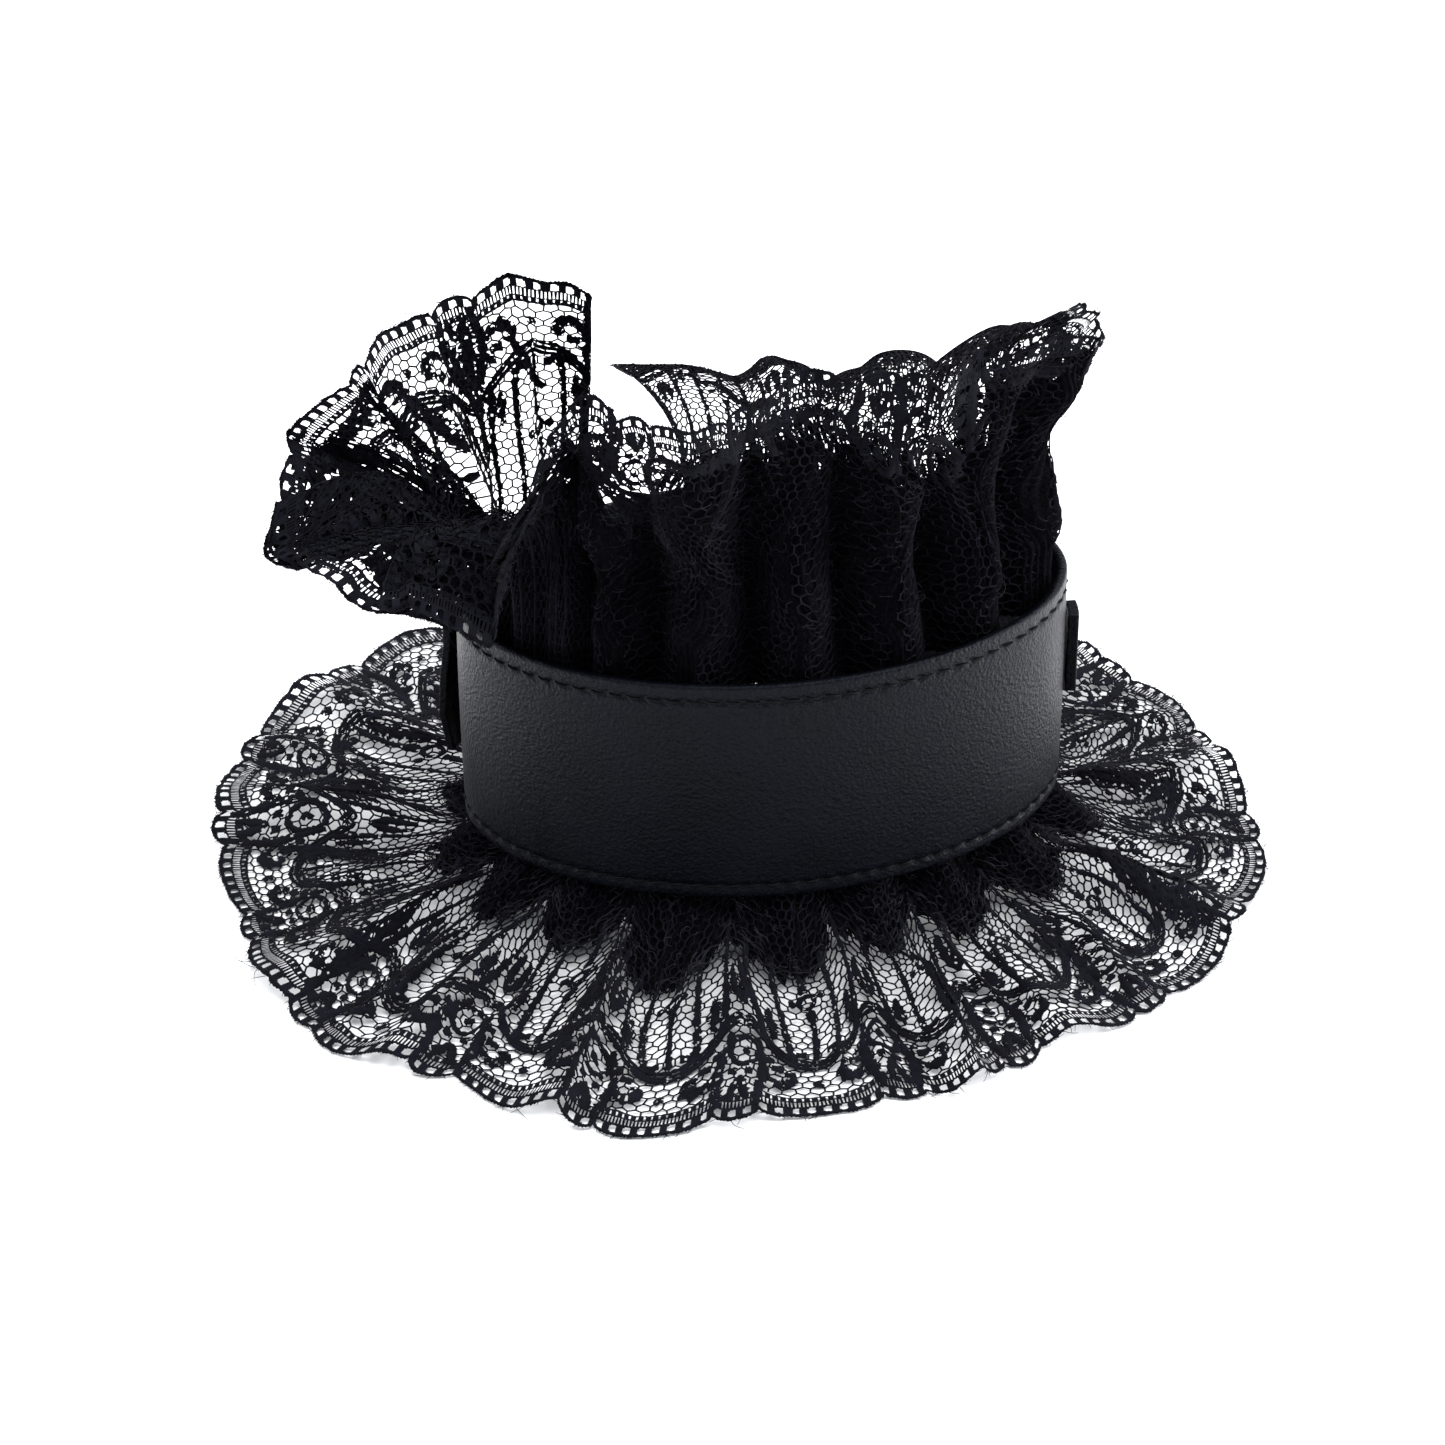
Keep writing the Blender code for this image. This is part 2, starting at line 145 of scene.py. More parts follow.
# Troughs and ridges of the loose lace: lobe_at, slant, start, end, half, depth
UPPER_CREASES = (
    (0.7, 0.3, 18, 60, 0.1, 1.3), (1.6, -0.4, 10, 48, 0.12, -1.5), (2.5, 0.2, 24, 64, 0.09, 1.6),
    (3.3, 0.5, 12, 58, 0.1, -1.6), (4.4, -0.3, 20, 64, 0.08, 1.4), (5.6, 0.4, 8, 50, 0.1, -1.2),
    (6.35, 0.2, 14, 60, 0.08, 1.4), (6.8, -0.3, 6, 44, 0.07, -1.3), (7.7, 0.35, 12, 62, 0.09, 1.5),
    (8.3, -0.2, 22, 64, 0.08, -1.2), (9.3, 0.3, 8, 52, 0.09, 1.6), (9.75, -0.3, 26, 64, 0.07, 1.1),
    (10.4, 0.25, 10, 46, 0.08, -1.5), (11.6, 0.3, 16, 64, 0.09, 1.5), (12.7, -0.4, 8, 54, 0.11, -1.4),
    (13.4, 0.3, 20, 60, 0.09, 1.5), (14.8, -0.3, 10, 58, 0.1, 1.3), (15.5, 0.4, 22, 64, 0.09, -1.5),
    (16.4, -0.2, 12, 50, 0.1, 1.2),
)
LOWER_CREASES = (
    (0.45, 0.3, 14, 60, 0.11, 2.2), (1.5, -0.3, 20, 64, 0.09, 2.6), (2.4, 0.4, 12, 52, 0.1, 1.8),
    (3.5, 0.2, 18, 64, 0.08, 2.8), (4.55, -0.4, 10, 56, 0.1, 2.2), (5.4, 0.3, 22, 64, 0.08, 1.8),
    (5.75, -0.2, 12, 48, 0.07, 2.4), (6.6, 0.35, 16, 60, 0.09, 2), (7.15, -0.3, 28, 64, 0.07, 1.6),
    (8.2, 0.25, 10, 50, 0.08, 2.2), (9.3, -0.35, 18, 64, 0.1, 2.8), (10.4, 0.3, 12, 58, 0.09, 2),
    (11.5, -0.2, 20, 64, 0.08, 2.6), (12.6, 0.4, 14, 54, 0.1, 2.2), (13.6, -0.3, 18, 62, 0.09, 1.8),
    (14.6, 0.2, 12, 58, 0.1, 2.4),
)

# The camera, fitted to the photograph: it looks down at the front from arm's length
CAMERA_HIGH = 33.0
CAMERA_AWAY = 0.85
CAMERA_AIM = (0.0, 0.0, 0.038)  # in the band's own frame
SHARPNESS = 4080.0  # focal length in pixels of the photograph
PHOTO_SIDE = 1445.0
AIM_PIXEL = (762.0, 685.0)
SENSOR = 36.0
FLOOR_HALF = 3.0  # in metres

# The lace's net and threads, in millimetres
NET_ALONG = 2.85
NET_ACROSS = 1.9
NET_JITTER = 0.13
THREAD_HALF = 0.2
THREAD_RISE = 0.13
GRID_STEP = 0.5
LOBE_STEPS = 48  # columns of the plain surface in each flute
LACE_ROWS = 71
RIM_ROWS = slice(-14, -2)  # near the rim, where the flat cut is measured
LACE_FLOOR = 0.2  # no thread of the net lies lower
BORDER_WIDE = 6.0
EYELET_PITCH = 3.1
EYELET_COLUMNS = 8
FRONT_FLUTES = (5.2, 12.6)  # the front flutes, whose motifs are hidden in their gathers
CREASE_FADE = 12.0
SWAY_FADE = 0.6  # in lobes
SWING_WAVE = 7.5
SWELL_WAVE = 5.2
SEED = 11

# The dense gathers: fine pleats behind the net, with loose threads before them
PLEAT_STEP = 0.42
PLEAT_PITCH = 1.7
PLEAT_DEEP = 0.32
GATHER_BEHIND = 0.9
GATHER_ROWS = 40
SEAM_ROW = 12  # the row of the plain surface that the pleats are spaced along
GATHER_LEAST = 8.0  # two columns that are shorter than this together are left out
GATHER_MOST = 58.0
OPEN_LOW = 0.05
OPEN_TOP = 0.34
OPEN_ABOVE = 30.0
MOTIFS_OVER = 4.0  # how far motifs reach over the gathers' ragged end
UPPER_CURLS = 800
LOWER_CURLS = 1300
CURL_STEPS = 9
CURL_RADIUS = 0.075
LOBE_LONG = 22.0
WISPS_A_MM = 1.5
WISP_RADII = (0.09, 0.045)
WISP_LOW = 0.15


def ease(x):
    """A smooth step from 0 to 1."""
    x = np.clip(x, 0.0, 1.0)
    return x * x * (3.0 - 2.0 * x)


def summed(steps):
    """How far along each point lies, from the steps between them."""
    return np.concatenate([[0.0], np.cumsum(steps)])


def unit(vectors, least=1e-9):
    """Vectors of length 1."""
    return vectors / (np.linalg.norm(vectors, axis=-1, keepdims=True) + least)


def read_between(at, knots, rows):
    """Rows of values read at places between their knots."""
    return np.stack([np.interp(at, knots, column) for column in rows.T], -1)


def numbered(grid):
    """The numbers of a grid's points, in the grid's shape."""
    return np.arange(grid.size).reshape(grid.shape)


def slow_noise(rng, spread, count):
    """Random values that change slowly from one to the next."""
    return np.convolve(rng.normal(0.0, spread, count + 4), np.ones(5) / 5.0, "valid")


def ring_path(count=1440):
    """The band's oval in plan, with the distance along it."""
    t = math.radians(CLOSING_AT) + np.linspace(0.0, 2.0 * math.pi, count + 1)
    c, s = np.cos(t), np.sin(t)
    x = HALF_WIDE * np.sign(c) * np.abs(c) ** (2.0 / ROUNDNESS)
    y = HALF_DEEP * np.sign(s) * np.abs(s) ** (2.0 / ROUNDNESS)
    a = math.radians(OVAL_TURN)
    x, y = x * math.cos(a) - y * math.sin(a), x * math.sin(a) + y * math.cos(a)
    return summed(np.hypot(np.diff(x), np.diff(y))), np.stack([x, y], -1)


ALONG, RING = ring_path()
ROUND = float(ALONG[-1])


def middle_offset():
    """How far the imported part's origin lies from the middle of the band's oval, read from the band node."""
    low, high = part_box("band")
    ring = (RING.min(0) + RING.max(0)) / 2 * MM
    return np.array([(low.x + high.x) / 2 - ring[0], (low.y + high.y) / 2 - ring[1], 0.0])


OFFSET = middle_offset()


def on_ring(at):
    """Point, outward direction and forward direction on the oval at a distance round it."""
    before, here, after = (read_between(np.mod(at + step, ROUND), ALONG, RING) for step in (-2.0, 0.0, 2.0))
    forward = after - before
    forward /= np.hypot(*forward.T)[..., None]
    return here, np.stack([forward[..., 1], -forward[..., 0]], -1), forward


def smooth_through(knots, rows, at):
    """A smooth curve through rows, one for each knot, read at each value in at."""
    i = np.clip(np.searchsorted(knots, at, side="right") - 1, 0, len(knots) - 2)
    t = (at - knots[i]) / (knots[i + 1] - knots[i])
    before, after = np.maximum(i - 1, 0), np.minimum(i + 2, len(knots) - 1)
    p0, p1, p2, p3 = rows[before], rows[i], rows[i + 1], rows[after]
    m1 = 0.5 * (p2 - p0)
    m2 = 0.5 * (p3 - p1)
    t = t.reshape(t.shape + (1,) * (rows.ndim - 1))
    return (
        (2 * t**3 - 3 * t**2 + 1) * p1
        + (t**3 - 2 * t**2 + t) * m1
        + (-2 * t**3 + 3 * t**2) * p2
        + (t**3 - t**2) * m2
    )


def upper_section(row, across):
    """One section of the upper ruffle, from the sewn edge to the rim."""
    ring_at, tuck, lean, droop, turn = row
    p, n, t = on_ring(ring_at)
    v = np.arange(-LACE_TUCKED, LACE_WIDE + 1.0, 1.0)
    slope = np.radians(lean * ease((v + 2.0) / 26.0) + droop * ease((v - 16.0) / 40.0))
    swing = math.radians(turn)
    h = math.cos(swing) * n + math.sin(swing) * t
    out = summed(np.sin(slope[:-1]))
    up = summed(np.cos(slope[:-1])) - LACE_TUCKED
    depth = (0.5 + 0.5 * ease((v + 6.0) / 26.0)) * (1.0 - 0.3 * ease((v - 38.0) / 26.0))
    inward = BAND_THICK + SEAM_GAP + tuck * depth
    plan = p + np.outer(out, h) - np.outer(inward, n)
    z = BAND_LOW + BAND_TALL + BAND_TILT * p[0] + up
    return read_between(across, v, np.column_stack([plan, z]))


def lower_section(row, crest, across):
    """One section of the lower ruffle, down from behind the band and out over the surface."""
    ring_at, reach = row
    p, n, _ = on_ring(ring_at)
    start = -(BAND_THICK + SEAM_GAP + (0.0 if crest else 9.0))
    drop = np.minimum(across, LACE_DROP)
    f = np.clip((across - LACE_DROP) / (LACE_WIDE - LACE_DROP), 0.0, 1.0)
    out = (reach - start) * f ** (1.0 if crest else 1.12)
    high = BAND_LOW + BAND_TILT * p[0] - LACE_DROP - LACE_THICK
    fall = high * (1.0 - f) ** (4.0 if crest else 2.6)
    rest = LACE_THICK + np.maximum(fall - 0.35 * ease(f * 3.0), 0.0)
    z = rest + np.where(across < LACE_DROP, LACE_DROP - drop, 0.0)
    return np.column_stack([p + n * start + np.outer(out, n), z])


def flutes(table, section, lobe_at, fullness):
    """Blends valley and crest sections into round flutes with narrow valleys between them."""
    valley_rows = np.array([section(row, False) for row in table[0::2]])
    crest_rows = np.array([section(row, True) for row in table[1::2]])
    lobes = len(crest_rows)
    valleys = smooth_through(np.arange(lobes + 1.0), valley_rows, lobe_at)
    middles = np.concatenate([[0.0], np.arange(lobes) + 0.5, [float(lobes)]])
    ends = np.concatenate([crest_rows[:1], crest_rows, crest_rows[-1:]])
    ends[0] += 0.5 * (valley_rows[0] - valley_rows[1])
    ends[-1] += 0.5 * (valley_rows[-1] - valley_rows[-2])
    crests = smooth_through(middles, ends, lobe_at)
    bow = np.sin(np.pi * lobe_at) ** 2
    weight = ((bow + 0.02) ** fullness - 0.02**fullness) / (1.02**fullness - 0.02**fullness)
    return valleys + weight[:, None, None] * (crests - valleys)


def upper_surface(lobe_at, across):
    """Points of the upper ruffle."""
    return flutes(UPPER, lambda row, crest: upper_section(row, across), lobe_at, 0.42)


def lower_surface(lobe_at, across):
    """Points of the lower ruffle, with its standing folds."""
    points = flutes(LOWER, lambda row, crest: lower_section(row, crest, across), lobe_at, 0.5)
    grown = ease((across - 12.0) / 22.0) * (1.0 - 0.35 * ease((across - 46.0) / 18.0))
    forward = unit(np.gradient(points, axis=0))
    for at, high, side in FOLDS:
        bump = np.exp(-(((lobe_at - at) / FOLD_HALF) ** 2))[:, None] * grown
        points[..., 2] += high * bump
        points += (side * bump * bump)[..., None] * forward * np.array([1.0, 1.0, 0.0])
    return points


class Lace:
    """A gathered strip of lace: places points of its flat cut, u along it and v across it, in space."""

    def __init__(self, surface, gathers, creases, layer, side, lift, swaying):
        """layer is the way and distance between layers, side the face that shows, lift the net's distance off
        the surface, swaying where and how far the flutes swing and swell."""
        fullness, pressed = np.array(gathers).T
        self.lobes = len(gathers)
        self.fine = np.linspace(0.0, self.lobes, self.lobes * LOBE_STEPS + 1)
        self.across = np.linspace(-LACE_TUCKED, LACE_WIDE, LACE_ROWS)
        self.base = surface(self.fine, self.across)
        swell = self.sway(*swaying)
        self.base_out = facing(self.base) * side
        self.base = self.base + self.base_out * (self.crease_rise(creases) + swell)[..., None]
        self.base_out = facing(self.base) * side
        arcs = np.linalg.norm(np.diff(self.base, axis=0), axis=2)
        self.lay_flat(arcs, fullness)
        self.fold(arcs, pressed, layer, lift)

    def lay_flat(self, arcs, fullness):
        """Works out the flat cut from the rim's length and the extra lace in each flute."""
        middle = (self.fine[1:] + self.fine[:-1]) / 2
        full = np.interp(middle, np.arange(self.lobes) + 0.5, fullness)
        self.flat = summed(arcs[:, RIM_ROWS].mean(1) * full)
        self.cut = float(self.flat[-1])
        self.u = np.linspace(0.0, self.cut, int(self.cut / GRID_STEP) + 1)
        self.repeats = round(self.cut / SCALLOP_PAIR)
        self.repeat = self.cut / self.repeats

    def fold(self, arcs, pressed, layer, lift):
        """Lays the extra lace of each flute back over itself, where its pleats are pressed together."""
        lobe = np.interp(self.u, self.flat, self.fine)
        which = np.minimum(lobe.astype(int), self.lobes - 1)
        t = lobe - which - 0.5
        lobe_cut = np.diff(self.flat[::LOBE_STEPS])
        lobe_base = arcs.reshape(self.lobes, LOBE_STEPS, -1).sum(1)
        rng = np.random.default_rng(SEED + self.lobes)
        way = rng.choice([-1.0, 1.0], self.lobes)[which]
        self.grid = np.empty((len(self.u), len(self.across), 3))
        kept = np.empty_like(self.grid)
        for j, v in enumerate(self.across):
            gathered = np.clip(lobe_cut / lobe_base[:, min(j, LACE_ROWS - 2)], 1.001, 3.4)[which]
            share = 1.0 - ease((v - 2.0) / pressed[which])
            at = which + 0.5 + t + share * (laid_back(t, gathered) - t)
            self.grid[:, j] = read_between(at, self.fine, self.base[:, j])
            kept[:, j] = read_between(at, self.fine, self.base_out[:, j])
            self.grid[:, j] -= kept[:, j] * (layer * share * layers(t * way, gathered))[:, None]
        self.grid += kept * lift
        self.out = facing(self.grid)
        self.out *= np.sign((self.out * kept).sum(2) + 1e-12)[..., None]

    def crease_rise(self, creases):
        """How far the soft creases lift the cloth off its plain surface."""
        rise = np.zeros((len(self.fine), len(self.across)))
        share = (self.across + LACE_TUCKED) / (LACE_WIDE + LACE_TUCKED)
        for lobe_at, slant, start, end, half, depth in creases:
            middle = lobe_at + slant * (share - 0.5)
            ridge = np.exp(-(((self.fine[:, None] - middle) / half) ** 2))
            inside = ease((self.across - start) / CREASE_FADE) * ease((end - self.across) / CREASE_FADE)
            rise += depth * ridge * inside
        return rise

    def sway(self, first, last, swing, swell):
        """Lets the flutes' sides swing to and fro as they rise, and gives how far their crests swell."""
        inside = ease((self.fine - first) / SWAY_FADE) * ease((last - self.fine) / SWAY_FADE)
        loose = ease((self.across - 3.0) / 9.0) * ease((58.0 - self.across) / 14.0)
        amount = inside[:, None] * loose
        along = self.fine[:, None]
        shift = swing * amount * np.sin(2.4 * along + self.across / SWING_WAVE)
        still = self.base.copy()
        for j in range(len(self.across)):
            self.base[:, j] = read_between(self.fine + shift[:, j], self.fine, still[:, j])
        crest = np.sin(np.pi * (along + shift)) ** 2
        return swell * amount * crest * np.cos(self.across / SWELL_WAVE - 1.7 + 1.3 * np.sin(2.1 * along))

    def place(self, u, v, lift=0.0):
        """Points of the lace in space, raised off its face by lift."""
        return lifted(self.grid, self.out, u / self.cut * (len(self.u) - 1), v, lift)

    def place_plain(self, lobe_at, v, lift):
        """Points over the surface as it is before it is pleated."""
        return lifted(self.base, self.base_out, lobe_at * LOBE_STEPS, v, lift)

    def rim(self, u):
        """Where the scalloped rim lies across the cut."""
        share = np.mod(u, self.repeat) / self.repeat * SCALLOP_PAIR
        big = np.sin(np.pi * np.clip(share / SCALLOP_BIG, 0, 1))
        small = 0.55 * np.sin(np.pi * np.clip((share - SCALLOP_BIG) / SCALLOP_SMALL, 0, 1))
        bow = np.where(share < SCALLOP_BIG, big, small)
        return LACE_WIDE - SCALLOP_DEEP * (1.0 - np.sqrt(np.clip(bow, 0.0, 1.0)))


def facing(grid):
    """Unit normals of a grid of points."""
    return unit(np.cross(np.gradient(grid, axis=0), np.gradient(grid, axis=1)))


def between(field, i, j):
    """A grid's value at fractional places, kept inside the grid."""
    i = np.clip(i, 0, len(field) - 1.000001)
    j = np.clip(j, 0, field.shape[1] - 1.000001)
    i0, j0 = i.astype(int), j.astype(int)
    a, b = (i - i0)[..., None], (j - j0)[..., None]
    return (
        field[i0, j0] * (1 - a) * (1 - b)
        + field[i0 + 1, j0] * a * (1 - b)
        + field[i0, j0 + 1] * (1 - a) * b
        + field[i0 + 1, j0 + 1] * a * b
    )


def lifted(grid, out, i, v, lift):
    """Points of a grid at column i and v across, moved along its normals by lift and kept off the floor."""
    i, j, lift = np.broadcast_arrays(i, v + LACE_TUCKED, lift)
    points = between(grid, i, j) + between(out, i, j) * lift[..., None]
    points[..., 2] = np.maximum(points[..., 2], LACE_FLOOR)
    return points


def laid_back(t, gathered):
    """Place along a flute of cloth that is laid back over itself in the flute's middle."""
    turn = (1.0 - 1.0 / gathered) / 4.0
    soft = 0.03

    def run(x):
        return np.log(np.cosh((x - turn) / soft)) - np.log(np.cosh(turn / soft))

    return np.sign(t) * 0.5 * run(np.abs(t)) / run(np.full_like(t, 0.5))


def layers(t, gathered):
    """How many layers lie over each point of the fold, from 0 to 2."""
    turn = (1.0 - 1.0 / gathered) / 4.0
    rise = ease((t + 1.6 * turn) / (3.2 * turn))
    return 2.0 * rise * (1.0 - ease((t - 2.2 * turn) / 0.22))


def add_object(name, data):
    """A new object in the scene."""
    made = bpy.data.objects.new(name, data)
    bpy.context.scene.collection.objects.link(made)
    return made


def mesh_object(name, points, quads, material, slot, smooth=True):
    """A mesh piece from points in millimetres and faces of four, riding on the part."""
    mesh = bpy.data.meshes.new(name)
    mesh.from_pydata(points.reshape(-1, 3) * MM + OFFSET, [], quads.reshape(-1, 4).tolist())
    mesh.polygons.foreach_set("use_smooth", np.full(len(mesh.polygons), smooth))
    mesh.validate()
    made = add_object(name, mesh)
    made.data.materials.append(material)
    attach(made, "root")
    return made


HONEYCOMB = np.array([(0, 2), (-1, 1), (-1, -1), (0, -2), (1, -1), (1, 1)])  # from a cell's middle


def held(shown):
    """Leaves out the faces of a grid that have no neighbour to hang on."""
    framed = np.pad(shown, 1)
    beside = framed[2:, 1:-1] | framed[:-2, 1:-1] | framed[1:-1, 2:] | framed[1:-1, :-2]
    return shown & beside


def net_cells(lace):
    """The keys of each cell's six corners, a cell's length, and the number of columns and rows."""
    columns = round(lace.cut / NET_ALONG)
    along = lace.cut / columns
    rows = int((LACE_WIDE + LACE_TUCKED) / NET_ACROSS) + 1
    i, j = np.meshgrid(np.arange(-1, columns + 1), np.arange(rows), indexing="ij")
    i, j = i.ravel(), j.ravel()
    centre = np.stack([2 * i + 1 + (j % 2), 3 * j + 1], -1)
    u = centre[:, 0] * along / 2
    v = centre[:, 1] * NET_ACROSS / 3 - LACE_TUCKED
    keep = (u > -0.3 * along) & (u < lace.cut + 0.3 * along)
    keep &= (v > -LACE_TUCKED + 0.8) & (v < lace.rim(u) - BORDER_WIDE + 0.9)
    return centre[keep, None] + HONEYCOMB, along, columns, rows


def net_holes(corner):
    """The corners of each cell's hole, drawn in from the cell's own corners by half a thread."""
    to_middle = corner.mean(1, keepdims=True) - corner
    ahead = unit(np.roll(corner, -1, axis=1) - corner)
    back = unit(np.roll(corner, 1, axis=1) - corner)
    inward = unit(ahead + back, 1e-6)
    half = np.sqrt(np.clip((1.0 - (ahead * back).sum(2, keepdims=True)) / 2.0, 0.04, 1.0))
    reach = np.linalg.norm(to_middle, axis=2, keepdims=True)
    hole = corner + inward * np.minimum(THREAD_HALF / half, 0.8 * reach)
    turned = (inward * to_middle).sum(2, keepdims=True) <= 0
    hole = np.where(turned, corner + to_middle * 0.5, hole)
    hole[..., 2] = np.maximum(hole[..., 2], LACE_FLOOR)
    return hole


def net_mesh(lace):
    """Points and faces of the lace's net: a ring of thread round each mesh of a slightly uneven honeycomb."""
    keys, along, columns, rows = net_cells(lace)
    rng = np.random.default_rng(SEED)
    size = (2 * columns + 12, 3 * rows + 12)
    shake = rng.normal(0.0, NET_JITTER, size + (2,)).clip(-0.4, 0.4)
    i, j = keys[..., 0] + 4, keys[..., 1] + 4
    moved = shake[i, j]
    u = np.clip(keys[..., 0] * along / 2 + moved[..., 0], 0.0, lace.cut)
    v = np.clip(keys[..., 1] * NET_ACROSS / 3 - LACE_TUCKED + moved[..., 1], -LACE_TUCKED, LACE_WIDE)
    ridge = lace.place(u, v, THREAD_RISE)
    hole = net_holes(lace.place(u, v, -THREAD_RISE))
    corner = i * size[1] + j
    _, first, shared = np.unique(corner.ravel(), return_index=True, return_inverse=True)
    shared = shared.reshape(corner.shape)
    points = np.concatenate([ridge.reshape(-1, 3)[first], hole.reshape(-1, 3)])
    holes = len(first) + numbered(u)
    return points, np.stack([shared, np.roll(shared, -1, 1), np.roll(holes, -1, 1), holes], -1)


def curve_through(points, step):
    """Points about a step apart on a smooth curve through a few points with any number of columns."""
    rows = np.asarray(points, float)
    knots = np.arange(len(rows), dtype=float)
    dense = smooth_through(knots, rows, np.linspace(0, len(rows) - 1, 40 * len(rows)))
    along = summed(np.hypot(*np.diff(dense[:, :2], axis=0).T))
    count = max(3, int(round(along[-1] / step)) + 1)
    return read_between(np.linspace(0.0, along[-1], count), along, dense)


def cords_mesh(lace, strokes, covered):
    """Darned motifs of lace along strokes of (u, v, width): ragged ribbons with pinholes."""
    rng = np.random.default_rng(SEED + 7)
    points, quads, start = [], [], 0
    for stroke in strokes:
        u, v, wide = stroke.T
        du, dv = np.gradient(u), np.gradient(v)
        length = np.hypot(du, dv) + 1e-9
        side_u, side_v = -dv / length, du / length
        bunched = wide.max() > WIDE_STROKE
        strips = int(wide.max() / BUNCH_STRIP) if bunched else 4 if wide.max() > THIN_STROKE else 2
        a = np.linspace(-1.0, 1.0, strips + 1)[None]
        ragged = a * np.where(np.abs(a) == 1.0, rng.uniform(0.7, 1.25, (len(u), strips + 1)), 1.0)
        reach = ragged * wide[:, None] / 2
        shake = BUNCH_SHAKE if bunched else CORD_SHAKE
        lift = CORD_RISE * (1.0 - 0.9 * a**2) + rng.normal(0.0, shake, ragged.shape)
        wide_u = u[:, None] + side_u[:, None] * reach
        wide_v = v[:, None] + side_v[:, None] * reach
        points.append(lace.place(wide_u, wide_v, lift))
        index = start + numbered(lift)
        quad = np.stack([index[:-1, :-1], index[:-1, 1:], index[1:, 1:], index[1:, :-1]], -1)
        frayed = np.broadcast_to(np.abs(a[:, 1:] + a[:, :-1]) / 2, quad.shape[:2])
        open_share = BUNCH_OPEN[0] + BUNCH_OPEN[1] * frayed**2 if bunched else PINHOLES
        shown = rng.uniform(size=quad.shape[:2]) > open_share
        shown &= ~covered(u[1:], v[1:])[:, None]
        quads.append(quad[held(shown)])
        start += index.size
    return np.concatenate([p.reshape(-1, 3) for p in points]), np.concatenate(quads)


# The lace's motifs, for one repeat, x from the middle of the big scallop and v across, in millimetres.
# Each is drawn on both sides of the middle. All are plain rays, festoons, commas, rings and leaves.
MIDDLE_RAY = ((0, -6, 1.4), (0, 8, 1.4), (0, 21, 1.3), (0, 23, 2.4), (0, 25, 1.6))
MIDDLE_RAY_END = ((0, 30, 1.6), (0, 32, 2.4), (0, 34, 1.3), (0, 46, 1.5))
PAIRED = (
    ((6.9, -6, 1.3), (6.9, 14, 1.4), (7, 30, 1.4), (6.4, 40, 1.6), (5.2, 45.5, 2)),
    ((13.8, -6, 1.3), (13.8, 12, 1.4), (13.7, 26, 1.4), (12.6, 36, 1.8), (11.8, 41, 1.6)),
    ((2.4, 27.6, 0.6), (3.6, 27.6, 2.1), (4.6, 27.6, 0.8)),
    ((13.9, 41.5, 1.2), (12.6, 46, 1.9), (12, 51, 2.4), (12.8, 56, 2.2), (13.4, 59.5, 1.2)),
    ((11.4, 50.5, 0.8), (9.4, 53.2, 2), (6.6, 53.6, 2.9), (5.1, 51.7, 2.6), (6, 50.2, 1.5), (7.2, 50.6, 0.8)),
    ((10.2, 31, 0.6), (10.4, 33.4, 2.4), (10.2, 36.6, 2.6), (9.6, 39.5, 0.8)),
    ((17.25, 33.5, 0.8), (16.2, 30.5, 2.2), (15.8, 26.5, 1.9), (16.4, 23.5, 0.7)),
    ((17.25, 52.6, 1), (16, 55.4, 2.1), (15.2, 58.6, 1.2)),
    ((7.4, 48.8, 1.9), (10.4, 48.8, 1.9)),
    ((9.8, 46.6, 1.7), (12.2, 46.6, 1.7)),
    ((2.2, 43.8, 1.7), (4.8, 43.8, 1.7)),
    ((14.4, 51, 1.6), (16.4, 51, 1.6)),
)
FESTOON = (
    (0, 47.6, 0.9), (4.5, 46.6, 0.9), (9, 43.6, 0.95),
    (12.6, 40, 0.95), (15.6, 37.6, 0.8), (17.25, 38.4, 0.7),
)
FESTOON_THREADS = (-1.15, -0.1, 1.0)  # how far each of its lines stands off its middle
STROKE_FULL = 1.13
STROKE_STEP = 0.52
THIN_STROKE = 1.15
WIDE_STROKE = 3.3
CORD_RISE = 0.36
CORD_SHAKE = 0.05
BUNCH_SHAKE = 0.22
CUT_END_IN = 0.7  # the cord that binds each cut end
CUT_END_POINTS = 120
PINHOLES = 0.03
BUNCH_STRIP = 0.5
BUNCH_OPEN = (0.03, 0.26)  # in a bunch's middle, and how much more at its edges
RINGS = (
    # x, v, radius, wide: the eyelet on the middle ray, the rosette and its dot, the bud
    (0, 27.6, 1.75, 1.1), (17.25, 45.6, 3.6, 1.3), (17.25, 45.6, 0.45, 1.5), (0, 53.6, 0.4, 1.7),
)


def ring_stroke(shape):
    """A closed ring as a stroke."""
    x, v, radius, wide = shape
    count = max(9, int(2 * math.pi * radius / STROKE_STEP))
    turn = np.linspace(0.0, 2 * math.pi, count)
    return np.stack([x + radius * np.cos(turn), v + radius * np.sin(turn), np.full(count, wide)], -1)


